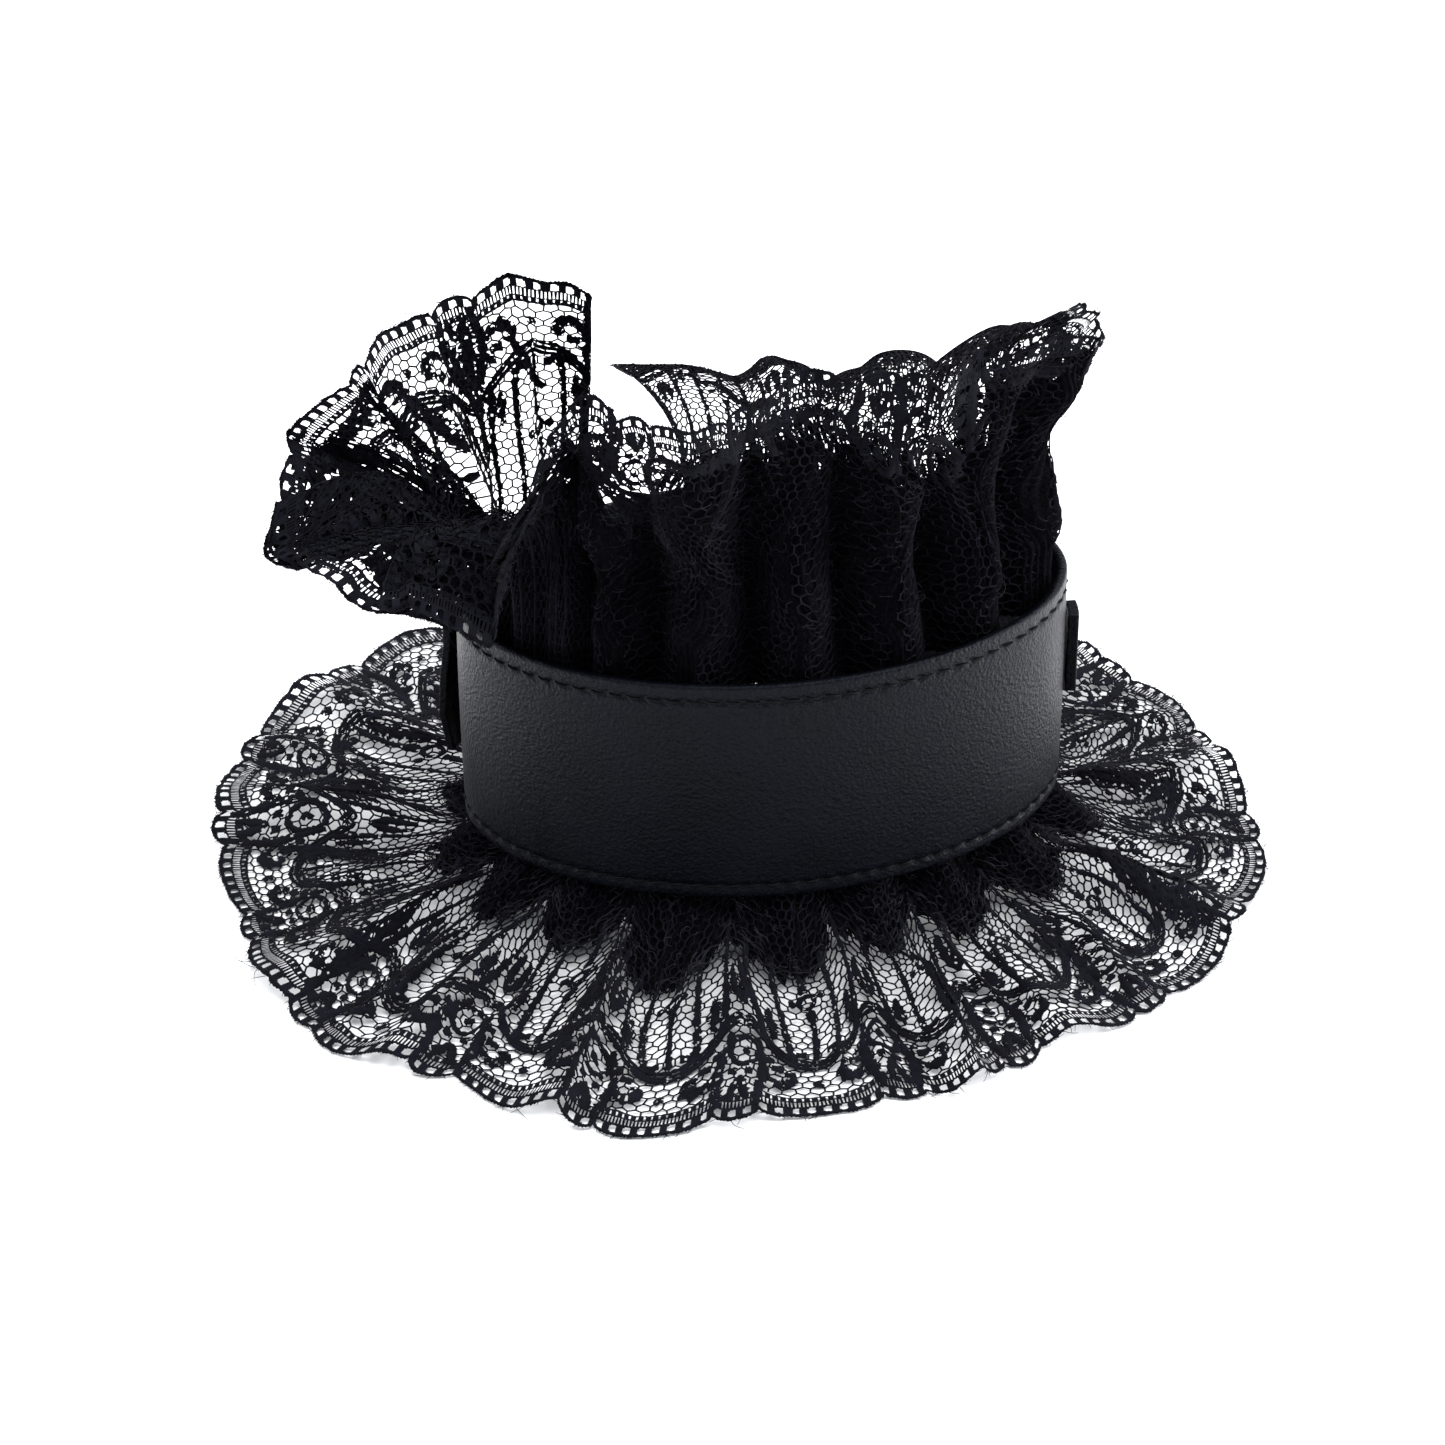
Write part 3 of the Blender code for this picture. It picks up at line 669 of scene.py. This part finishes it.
def motif_strokes(lace):
    """Every raised cord of the lace."""
    one = [curve_through(MIDDLE_RAY, STROKE_STEP), curve_through(MIDDLE_RAY_END, STROKE_STEP)]
    one += [ring_stroke(shape) for shape in RINGS]
    festoon = [np.array(FESTOON) + np.array([0.0, away, 0.0]) for away in FESTOON_THREADS]
    for shape in PAIRED + tuple(festoon):
        stroke = curve_through(shape, STROKE_STEP)
        one += [stroke, stroke * np.array([-1.0, 1.0, 1.0])]
    stretch = lace.repeat / SCALLOP_PAIR
    rng = np.random.default_rng(SEED + 5)
    found = []
    for end in (CUT_END_IN, lace.cut - CUT_END_IN):
        v = np.linspace(-LACE_TUCKED, float(lace.rim(np.array(end))) - 0.8, CUT_END_POINTS)
        u = end + rng.normal(0.0, 0.12, CUT_END_POINTS)
        found.append(np.stack([u, v, rng.uniform(1.2, 2.0, CUT_END_POINTS)], -1))
    for k in range(-1, lace.repeats + 1):
        middle = (k + SCALLOP_BIG / 2 / SCALLOP_PAIR) * lace.repeat
        for stroke in one:
            u = middle + stroke[:, 0] * stretch
            shift = rng.uniform(-0.25, 0.25, 2)
            keep = (u > 0.3) & (u < lace.cut - 0.3)
            if keep.sum() < 3:
                continue
            wide = stroke[:, 2] * STROKE_FULL * rng.uniform(0.8, 1.2, len(stroke))
            moved = np.stack([u + shift[0], stroke[:, 1] + shift[1], wide], -1)[keep]
            moved[:, 1] = np.clip(moved[:, 1], -LACE_TUCKED, LACE_WIDE)
            found.append(moved)
    return found


def bunch_strokes(lace, table):
    """Lace bunched up from one place to another, as wide ragged strokes that waver a little."""
    found = []
    for from_lobe, from_v, to_lobe, to_v, wide in table:
        from_u, to_u = np.interp((from_lobe, to_lobe), lace.fine, lace.flat)
        count = int(math.hypot(to_u - from_u, to_v - from_v) / STROKE_STEP) + 2
        share = np.linspace(0.0, 1.0, count)
        waver = 0.9 * np.sin(7.0 * share + 3.0 * from_lobe)
        taper = np.sin(np.pi * (0.06 + 0.88 * share)) ** 0.45
        v = from_v + (to_v - from_v) * share + waver
        found.append(np.stack([from_u + (to_u - from_u) * share, v, wide * taper], -1))
    return found


# The border's rows, measured in from the rim: how far they stand off the net, and which columns are open
BORDER_ROWS = (
    # depth, rise, open_from, open_to, every
    (0, 0.05, 0, 0, 8), (0.25, 0.5, 0, 0, 8), (0.75, 0.45, 0, 0, 8), (1, 0.15, 3, 6, 8),
    (1.25, 0.12, 2, 6, 8), (2.35, 0.12, 3, 6, 8), (2.6, 0.15, 0, 0, 8), (3, 0.3, 0, 1, 2),
    (4.5, 0.1, 0, 0, 8), (4.85, 0.15, 0, 1, 4), (5.6, 0.2, 0, 0, 8), (6.1, 0.1, 0, 0, 8),
)


def border_mesh(lace):
    """The rim's border: a beaded cord, a row of small eyelets and a hatched inner edge."""
    depth, rise, open_from, open_to, every = np.array(BORDER_ROWS).T
    columns = int(round(lace.cut / EYELET_PITCH)) * EYELET_COLUMNS
    u = np.linspace(0.0, lace.cut, columns + 1)
    rng = np.random.default_rng(SEED + 9)
    odd = np.arange(columns + 1) % 2
    bead = 0.2 * odd + rng.uniform(0.0, 0.12, columns + 1)
    bead += slow_noise(rng, 0.34, columns + 1)
    edge = lace.rim(u)
    across = edge[:, None] - depth - bead[:, None] * (depth == 0.0)
    raised = rise - bead[:, None] * (rise > 0.4)
    squeeze = (0.07 - 0.14 * odd)[:, None] * (every == 2)
    shaken = u[:, None] + squeeze + rng.normal(0.0, 0.045, across.shape)
    points = lace.place(shaken, across + rng.normal(0.0, 0.05, across.shape), raised)
    column = np.arange(columns)
    narrowed = rng.choice(2, columns // EYELET_COLUMNS + 1, p=(0.78, 0.22))[column // EYELET_COLUMNS]
    grid = numbered(across)
    quads = []
    for row in range(len(depth) - 1):
        step = column % int(every[row])
        smaller = narrowed if every[row] == EYELET_COLUMNS else 0
        shown = column[(step < open_from[row] + smaller) | (step >= open_to[row])]
        a, b = grid[shown, row], grid[shown + 1, row]
        quads.append(np.stack([a, b, b + 1, a + 1], -1))
    return points, np.concatenate(quads)


def tube_mesh(paths, radius, sides):
    """Thin tubes along paths that all have the same number of points."""
    ahead = unit(np.gradient(paths, axis=1))
    up = np.where(np.abs(ahead[..., 2:3]) > 0.9, np.array([1.0, 0, 0]), np.array([0, 0, 1.0]))
    side = unit(np.cross(ahead, up))
    other = np.cross(side, ahead)
    turns = 2 * math.pi * np.arange(sides) / sides
    ring = [paths + (side * math.cos(a) + other * math.sin(a)) * radius[:, None] for a in turns]
    points = np.stack(ring)
    index = numbered(points[..., 0])
    beside = np.roll(index, -1, axis=0)
    return points, np.stack([index[..., :-1], beside[..., :-1], beside[..., 1:], index[..., 1:]], -1)


def dense_top(table, lobe_at, round_by):
    """How far out the dense gathers reach at each place, with round ends where they stand apart."""
    at, top = np.array(table).T
    straight = np.interp(lobe_at, at, top)
    if not round_by:
        return straight
    share = np.abs(np.mod(lobe_at, 1.0) - 0.5) * 2.0
    middle = np.interp(np.floor(lobe_at) + 0.5, at, top)
    edge = np.interp(np.round(lobe_at), at, top)
    bow = np.clip(1.0 - (share / 0.86) ** round_by, 0.0, 1.0) ** (1.0 / round_by)
    return edge + (middle - edge) * bow


def gathers_mesh(lace, table, round_by, frayed):
    """The dense gathers at the sewn edge: many fine pleats pressed together, with a ragged end."""
    rng = np.random.default_rng(SEED + 2)
    along = summed(np.linalg.norm(np.diff(lace.base[:, SEAM_ROW], axis=0), axis=1))
    columns = int(along[-1] / PLEAT_STEP)
    place = np.linspace(0.0, along[-1], columns + 1)[:, None]
    lobe_at = np.interp(place, along, lace.fine)
    ragged = slow_noise(rng, 1.6, columns + 1)[:, None]
    top = dense_top(table, lobe_at, round_by) + ragged + rng.uniform(-0.5, 0.5, (columns + 1, 1))
    top = np.minimum(top, GATHER_MOST)
    v = -LACE_TUCKED + (top + LACE_TUCKED) * np.linspace(0.0, 1.0, GATHER_ROWS + 1)
    sway = 0.9 * np.sin(v / 7.0 + lobe_at * 2.0) + 0.4 * np.sin(v / 2.9 + lobe_at * 5.0)
    pleat = np.sin(2 * math.pi * (place + sway) / PLEAT_PITCH)
    slow = np.sin(2 * math.pi * (place + 2.0 * sway) / (PLEAT_PITCH * 3.7))
    lift = -GATHER_BEHIND + PLEAT_DEEP * (pleat + slow) + rng.normal(0.0, 0.08, v.shape)
    points = lace.place_plain(lobe_at, v, lift)
    index = numbered(v)
    quads = np.stack([index[:-1, :-1], index[1:, :-1], index[1:, 1:], index[:-1, 1:]], -1)
    middle = (v[1:, 1:] + v[:-1, :-1]) / 2
    open_share = OPEN_LOW * (middle > OPEN_ABOVE) + OPEN_TOP * ease((middle - top[1:] + frayed) / frayed)
    shown = (top[1:] + top[:-1] > GATHER_LEAST) & (rng.uniform(size=middle.shape) > open_share)
    return points, quads[held(shown)]


def curls(lace, table, round_by, count, seed):
    """Fine kinked threads over the dense gathers, most of them near their ragged ends."""
    rng = np.random.default_rng(seed)
    lobe = rng.uniform(0.02, lace.lobes - 0.02, count)
    top = dense_top(table, lobe, round_by)
    v0 = top * (1.06 - rng.uniform(0.0, 1.0, count) ** 1.7)
    turn = rng.normal(0.0, 0.75, (count, CURL_STEPS)).cumsum(1) + rng.uniform(0, 2 * math.pi, (count, 1))
    length = rng.uniform(0.25, 0.62, (count, 1))
    u = np.cumsum(np.cos(turn) * length, 1) / LOBE_LONG
    v = v0[:, None] + np.cumsum(np.sin(turn) * length * 0.7, 1)
    arch = np.sqrt(np.clip(np.sin(np.linspace(0.0, math.pi, CURL_STEPS)), 0.0, 1.0))
    lift = -GATHER_BEHIND + (1.2 + rng.uniform(0.0, 0.8, (count, 1))) * arch
    at = np.clip(lobe[:, None] + u, 0.0, lace.lobes)
    paths = lace.place_plain(at, v, lift)
    return tube_mesh(paths, np.full(CURL_STEPS, CURL_RADIUS), 3)


def wisps(lace, seed):
    """Fine loose ends of thread along the rim."""
    rng = np.random.default_rng(seed)
    count = int(lace.cut * WISPS_A_MM)
    u = rng.uniform(0.5, lace.cut - 0.5, count)
    rim = lace.rim(u)
    root = lace.place(u, rim - 0.6, 0.2)
    along = unit(lace.place(u + 0.5, rim - 0.6) - lace.place(u - 0.5, rim - 0.6))
    away = unit(lace.place(u, rim) - lace.place(u, rim - 2.0))
    up = np.cross(along, away)
    each = (count, 1, 1)
    length = 0.5 + 1.3 * rng.uniform(0.0, 1.0, each) ** 2 + 2.6 * (rng.uniform(size=each) > 0.96)
    lean = rng.normal(0.0, 0.7, each)
    curl = rng.normal(0.0, 0.9, each)
    raised = rng.normal(0.0, 0.4, each)
    s = np.linspace(0.0, 1.0, 6)[None, :, None]
    paths = root[:, None] + length * (
        away[:, None] * (s - 0.25 * np.abs(curl) * s**2)
        + along[:, None] * (lean * s + curl * s**2)
        + up[:, None] * raised * s**1.5
    )
    paths[..., 2] = np.maximum(paths[..., 2], WISP_LOW)
    return tube_mesh(paths, np.linspace(*WISP_RADII, 6), 3)


def plain_material(name, look):
    """A material with its shader set to look."""
    material = bpy.data.materials.new(name)
    material.use_nodes = True
    shader = material.node_tree.nodes["Principled BSDF"]
    for key, value in look.items():
        shader.inputs[key].default_value = value
    return material, shader


def textured_material(name, look):
    """A plain material, and helpers that add nodes, add textures and join them."""
    material, shader = plain_material(name, look)
    tree = material.node_tree

    def add(kind, **values):
        node = tree.nodes.new("ShaderNode" + kind)
        for key, value in values.items():
            if key in node.inputs:
                node.inputs[key].default_value = value
            else:
                setattr(node, key, value)
        return node

    def join(source, output, target, socket):
        tree.links.new(source.outputs[output], target.inputs[socket])

    place = add("TexCoord")

    def texture(kind, **values):
        node = add("Tex" + kind, **values)
        join(place, "Object", node, "Vector")
        return node

    return material, shader, add, texture, join


def colour_ramp(add, dark_to, dark, light_from, light):
    """A ramp from one colour to another."""
    ramp = add("ValToRGB")
    low, high = ramp.color_ramp.elements
    low.position, high.position = dark_to, light_from
    low.color, high.color = dark, light
    return ramp


def thread_material(name, look, ramp_values, patches, fibres, strength, distance):
    """Black thread: its colour varies with the noise patches, and it is rough with the noise fibres."""
    material, shader, add, texture, join = textured_material(name, look)
    colour = texture("Noise", **patches)
    rough = texture("Noise", **fibres)
    ramp = colour_ramp(add, *ramp_values)
    bump = add("Bump", Strength=strength, Distance=distance)
    join(colour, "Fac", ramp, "Fac")
    join(ramp, "Color", shader, "Base Color")
    join(rough, "Fac", bump, "Height")
    join(bump, "Normal", shader, "Normal")
    return material


def lace_material(name, dark, light):
    """Matt black twisted thread with a faint navy cast and short fibres; its lighter copies for the curls
    carry painted sheen.
    """
    look = {"Roughness": 0.8, "Specular IOR Level": 0.06, "Sheen Weight": 0.02, "Sheen Roughness": 0.5}
    patches = {"Scale": 260.0, "Detail": 3.0}
    twist = {"Scale": 2600.0, "Detail": 2.0}
    return thread_material(name, look, (0.3, dark, 0.75, light), patches, twist, 0.6, 0.0002)


def gathers_material():
    """The same thread pressed together into a soft, matted mass of fine fibres, darker than the lace thread:
    partly its own deeper black, partly painted shade of the deep gathers.
    """
    look = {"Roughness": 0.9, "Specular IOR Level": 0.02, "Sheen Weight": 0.01}
    fibres = {"Scale": 900.0, "Detail": 4.0, "Distortion": 2.5}
    # Colours darker than the lace thread's: partly painted shade of the gathers' deep folds.
    colours = (0.42, (0.0004, 0.0004, 0.0007, 1), 0.68, (0.003, 0.003, 0.0052, 1))
    return thread_material("lace_gathers_painted_shade", look, colours, fibres, fibres, 0.9, 0.0004)


def stitch_material():
    """Black stitching thread, a little glossier than the lace; its near-black colour is partly the thread's
    own and partly painted shade of the stitch holes.
    """
    look = {"Roughness": 0.5, "Specular IOR Level": 0.1}
    twist = {"Scale": 3000.0, "Detail": 2.0}
    # Near black: partly painted shade of the stitch holes the thread sinks into.
    colours = (0.0, (0.0005, 0.0005, 0.0008, 1), 1.0, (0.0025, 0.0025, 0.0034, 1))
    return thread_material("stitching_thread_painted_hole_shade", look, colours, twist, twist, 0.5, 0.0001)


def leather_material(name, dark, light, gloss_level, facing_gloss):
    """Black leatherette with a fine pebbled grain, dull from straight ahead and shinier at a slant."""
    tint = (facing_gloss, facing_gloss, 1.08 * facing_gloss, 1)
    look = {"Specular IOR Level": gloss_level, "Specular Tint": tint}
    material, shader, add, texture, join = textured_material(name, look)
    pebbles = texture("Voronoi", Scale=1500.0, feature="SMOOTH_F1", Smoothness=0.6)
    grain = texture("Noise", Scale=900.0, Detail=4.0, Roughness=0.6)
    wide = texture("Noise", Scale=60.0, Detail=2.0)
    ramp = colour_ramp(add, 0.25, dark, 0.8, light)
    gloss = add("MapRange", **{"From Min": 0.2, "From Max": 0.8, "To Min": 0.36, "To Max": 0.46})
    height = add("Math", operation="MULTIPLY_ADD")
    height.inputs[1].default_value = 0.7
    bump = add("Bump", Strength=0.9, Distance=0.00026)
    join(pebbles, "Distance", height, 0)
    join(grain, "Fac", height, 2)
    join(height, "Value", bump, "Height")
    join(bump, "Normal", shader, "Normal")
    join(wide, "Fac", ramp, "Fac")
    join(ramp, "Color", shader, "Base Color")
    join(wide, "Fac", gloss, "Value")
    join(gloss, "Result", shader, "Roughness")
    return material


# The band's outer face: rows of topstitching sit in shallow grooves
STITCH_PITCH = 4.0
STITCH_LONG = 2.7
STITCH_THICK = 0.52
TOP_LINE = 3.7  # below the band's top edge
LOW_LINE = 3.0  # above its bottom edge
GROOVE_HALF = 1.3
GROOVE_DEEP = 0.62
EDGE_ROUND = 0.75
BAND_STEP = 0.8
BAND_SWELL = 0.22  # how far the leather swells between its two rows of stitches


def rounded_edge(start, end, middle):
    """Rows of the band's section round one of its outer edges."""
    turns = np.radians(np.linspace(start, end, 5))
    return [(middle + EDGE_ROUND * math.sin(a), -EDGE_ROUND + EDGE_ROUND * math.cos(a), 1.0) for a in turns]


def band_profile():
    """The band's section, up its outer face and down its inner one: height, distance out, outer or not."""
    heights = np.concatenate([
        np.arange(1.2, LOW_LINE + 2.4, 0.35),
        np.linspace(LOW_LINE + 3.0, BAND_TALL - TOP_LINE - 3.0, 14),
        np.arange(BAND_TALL - TOP_LINE - 2.3, BAND_TALL - 1.1, 0.35),
    ])
    rows = rounded_edge(-90, 0, EDGE_ROUND)
    rows += [(float(z), 0.0, 1.0) for z in heights]
    rows += rounded_edge(0, 90, BAND_TALL - EDGE_ROUND)
    rows += [(z, -BAND_THICK, 0.0) for z in (BAND_TALL - 0.4, BAND_TALL / 2, 0.4)]
    return np.array(rows)


def band_mesh():
    """The band as one closed strip, with its grooves pulled in at each stitch."""
    profile = band_profile()
    start, end = CLOSING_GAP / 2, ROUND - CLOSING_GAP / 2
    at = np.linspace(start, end, int((end - start) / BAND_STEP) + 1)
    p, n, _ = on_ring(at)
    z, out, outer = profile.T
    puckered = 0.55 + 0.45 * np.cos(2 * math.pi * at / STITCH_PITCH)[:, None]
    groove = np.zeros((len(at), len(z)))
    for line in (LOW_LINE, BAND_TALL - TOP_LINE):
        groove += np.exp(-(((z - line) / (GROOVE_HALF * 0.55)) ** 2)) * puckered
    between_lines = np.clip((z - LOW_LINE) / (BAND_TALL - TOP_LINE - LOW_LINE), 0, 1)
    swell = BAND_SWELL * np.sin(np.pi * between_lines)
    radial = out - outer * GROOVE_DEEP * groove + outer * (swell - BAND_SWELL)
    high = BAND_LOW + BAND_TILT * p[:, 0:1] + z
    points = np.concatenate([p[:, None] + n[:, None] * radial[..., None], high[..., None]], -1)
    a = numbered(high)
    b = np.roll(a, -1, axis=1)
    return points, np.stack([a[:-1], a[1:], b[1:], b[:-1]], -1), high.shape


def close_band(made, size):
    """Fills the two cut ends of the band."""
    columns, count = size
    work = bmesh.new()
    work.from_mesh(made.data)
    work.verts.ensure_lookup_table()
    for start, way in ((0, 1), ((columns - 1) * count, -1)):
        work.faces.new([work.verts[start + k] for k in range(count)][::way])
    bmesh.ops.recalc_face_normals(work, faces=work.faces)
    work.to_mesh(made.data)
    work.free()


def stitches():
    """Short threads along both stitch lines, each dipping into the leather at its ends."""
    paths = []
    s = np.linspace(-0.5, 0.5, 7)
    for line, slant in ((LOW_LINE, 0.12), (BAND_TALL - TOP_LINE, -0.12)):
        for k in range(int((ROUND - 8.0) / STITCH_PITCH)):
            at = (k + 1.5) * STITCH_PITCH + s * STITCH_LONG
            p, n, _ = on_ring(at)
            dip = -0.62 + 0.45 * np.cos(np.pi * s) ** 0.6
            z = BAND_LOW + BAND_TILT * p[:, 0] + line + slant * s * STITCH_LONG
            paths.append(np.column_stack([p + n * dip[:, None], z]))
    radius = STITCH_THICK / 2 * np.cos(np.pi * s * 0.86) ** 0.4
    return tube_mesh(np.array(paths), radius, 6)


def build_lace(name, node, lace, dense, bunches, round_by, frayed, flutes, hairs, kinked, seed):
    """Builds one ruffle's net, cords, border, gathers and loose threads."""
    def piece(kind, made, material, smooth=True):
        return mesh_object(name + kind, *made, material, "lace", smooth=smooth)

    def covered(u, v):
        """Where a motif lies in the dense gathers, whose pleats hide it."""
        lobe = np.interp(u, lace.flat, lace.fine)
        inside = (lobe > flutes[0]) & (lobe < flutes[1])
        return inside & (v < dense_top(dense, lobe, round_by) - MOTIFS_OVER)

    net = piece("_net", net_mesh(lace), lace_thread, smooth=False)
    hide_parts(node)
    strokes = motif_strokes(lace) + bunch_strokes(lace, bunches)
    more = [
        piece("_cords", cords_mesh(lace, strokes, covered), lace_thread),
        piece("_border", border_mesh(lace), lace_thread),
        piece("_gathers", gathers_mesh(lace, dense, round_by, frayed), gathers_black_and_painted_shade),
        piece("_wisps", wisps(lace, seed), lace_thread),
        piece("_curls", curls(lace, dense, round_by, kinked, seed + 10), hairs),
    ]


def add_floor():
    """A plain white floor."""
    mesh = bpy.data.meshes.new("floor")
    corners = [(x * FLOOR_HALF, y * FLOOR_HALF, 0) for x, y in ((-1, -1), (1, -1), (1, 1), (-1, 1))]
    mesh.from_pydata(corners, [], [(0, 1, 2, 3)])
    floor = add_object("floor", mesh)
    look = {"Base Color": (0.93, 0.93, 0.94, 1), "Roughness": 0.9, "Specular IOR Level": 0.1}
    floor.data.materials.append(plain_material("white_paper", look)[0])


def add_area(name, place, aim, size, power):
    """A soft rectangular light that faces a point."""
    data = bpy.data.lights.new(name, "AREA")
    data.shape = "SQUARE"
    data.size = size
    data.energy = power
    lamp = add_object(name, data)
    lamp.location = place
    lamp.rotation_euler = (Vector(aim) - Vector(place)).to_track_quat("-Z", "Y").to_euler()


def add_camera():
    """The camera at the photograph's angle, with the shift that its framing needs."""
    tilt = math.radians(CAMERA_HIGH)
    data = bpy.data.cameras.new("photo_camera")
    data.sensor_width = SENSOR
    data.lens = SENSOR * SHARPNESS / PHOTO_SIDE
    data.shift_x = -(AIM_PIXEL[0] - PHOTO_SIDE / 2) / PHOTO_SIDE
    data.shift_y = (AIM_PIXEL[1] - PHOTO_SIDE / 2) / PHOTO_SIDE
    camera = add_object("photo_camera", data)
    aim = np.array(CAMERA_AIM) + OFFSET
    camera.location = aim + CAMERA_AWAY * np.array([0.0, -math.cos(tilt), math.sin(tilt)])
    camera.rotation_euler = (math.pi / 2 - tilt, 0.0, 0.0)
    bpy.context.scene.camera = camera


def add_light():
    """Soft studio light: a pale sky, a large light overhead and a softbox on each side."""
    world = bpy.data.worlds.new("studio")
    world.use_nodes = True
    sky = world.node_tree.nodes["Background"].inputs
    sky["Color"].default_value = (0.87, 0.92, 1.0, 1)
    sky["Strength"].default_value = 0.55
    bpy.context.scene.world = world
    add_area("overhead", (0.1, 0.2, 1.7), (0, 0, 0.0), 2.4, 76.0)
    add_area("softbox_left", (-1.1, -0.3, 0.7), (0, 0, 0.05), 0.8, 7.0)
    add_area("softbox_right", (1.2, -0.1, 0.4), (0, 0, 0.05), 0.7, 18.0)
    bpy.context.scene.view_settings.view_transform = "Standard"


add_camera()
add_light()
add_floor()

lace_thread = lace_material("lace_thread", (0.0012, 0.0012, 0.0026, 1), (0.0042, 0.0042, 0.0084, 1))
# The curls' two threads are lighter copies of the black lace thread: their lighter colour is painted sheen of
# lit loose fibres.
upper_curls_painted_sheen = lace_material("upper_curls_painted_sheen", (0.006, 0.006, 0.009, 1), (0.016, 0.016, 0.022, 1))
lower_curls_painted_sheen = lace_material("lower_curls_painted_sheen", (0.009, 0.009, 0.013, 1), (0.026, 0.026, 0.034, 1))
leatherette = leather_material(
    "black_leatherette", (0.0011, 0.0013, 0.0028, 1), (0.0026, 0.0031, 0.006, 1), gloss_level=0.58,
    facing_gloss=0.13)
strap_leather = leather_material(
    "strap_leatherette", (0.001, 0.001, 0.0016, 1), (0.0022, 0.0022, 0.0034, 1), gloss_level=0.1,
    facing_gloss=0.5)
stitching_with_painted_hole_shade = stitch_material()
gathers_black_and_painted_shade = gathers_material()

upper = Lace(upper_surface, UPPER_GATHERS, UPPER_CREASES, layer=1.0, side=1.0, lift=-0.5,
             swaying=(*FRONT_FLUTES, 0.14, 1.9))
lower = Lace(lower_surface, LOWER_GATHERS, LOWER_CREASES, layer=-0.9, side=-1.0, lift=-0.6,
             swaying=(0.0, 15.0, 0.03, 0.0))
build_lace("upper_lace", "upper_ruffle", upper, UPPER_DENSE, UPPER_BUNCHES, round_by=0, frayed=7.0,
           flutes=FRONT_FLUTES, hairs=upper_curls_painted_sheen, kinked=UPPER_CURLS, seed=3)
build_lace("lower_lace", "lower_ruffle", lower, LOWER_DENSE, LOWER_BUNCHES, round_by=3, frayed=1.6,
           flutes=(0.0, lower.lobes), hairs=lower_curls_painted_sheen, kinked=LOWER_CURLS, seed=4)

points, quads, size = band_mesh()
band = mesh_object("band_leather", points, quads, leatherette, "leather")
close_band(band, size)
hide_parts("band")
mesh_object("band_stitches", *stitches(), stitching_with_painted_hole_shade, "leather")
for node in ("closing_strap", "side_tab"):
    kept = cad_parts[node]
    kept.data.materials.clear()
    kept.data.materials.append(strap_leather)
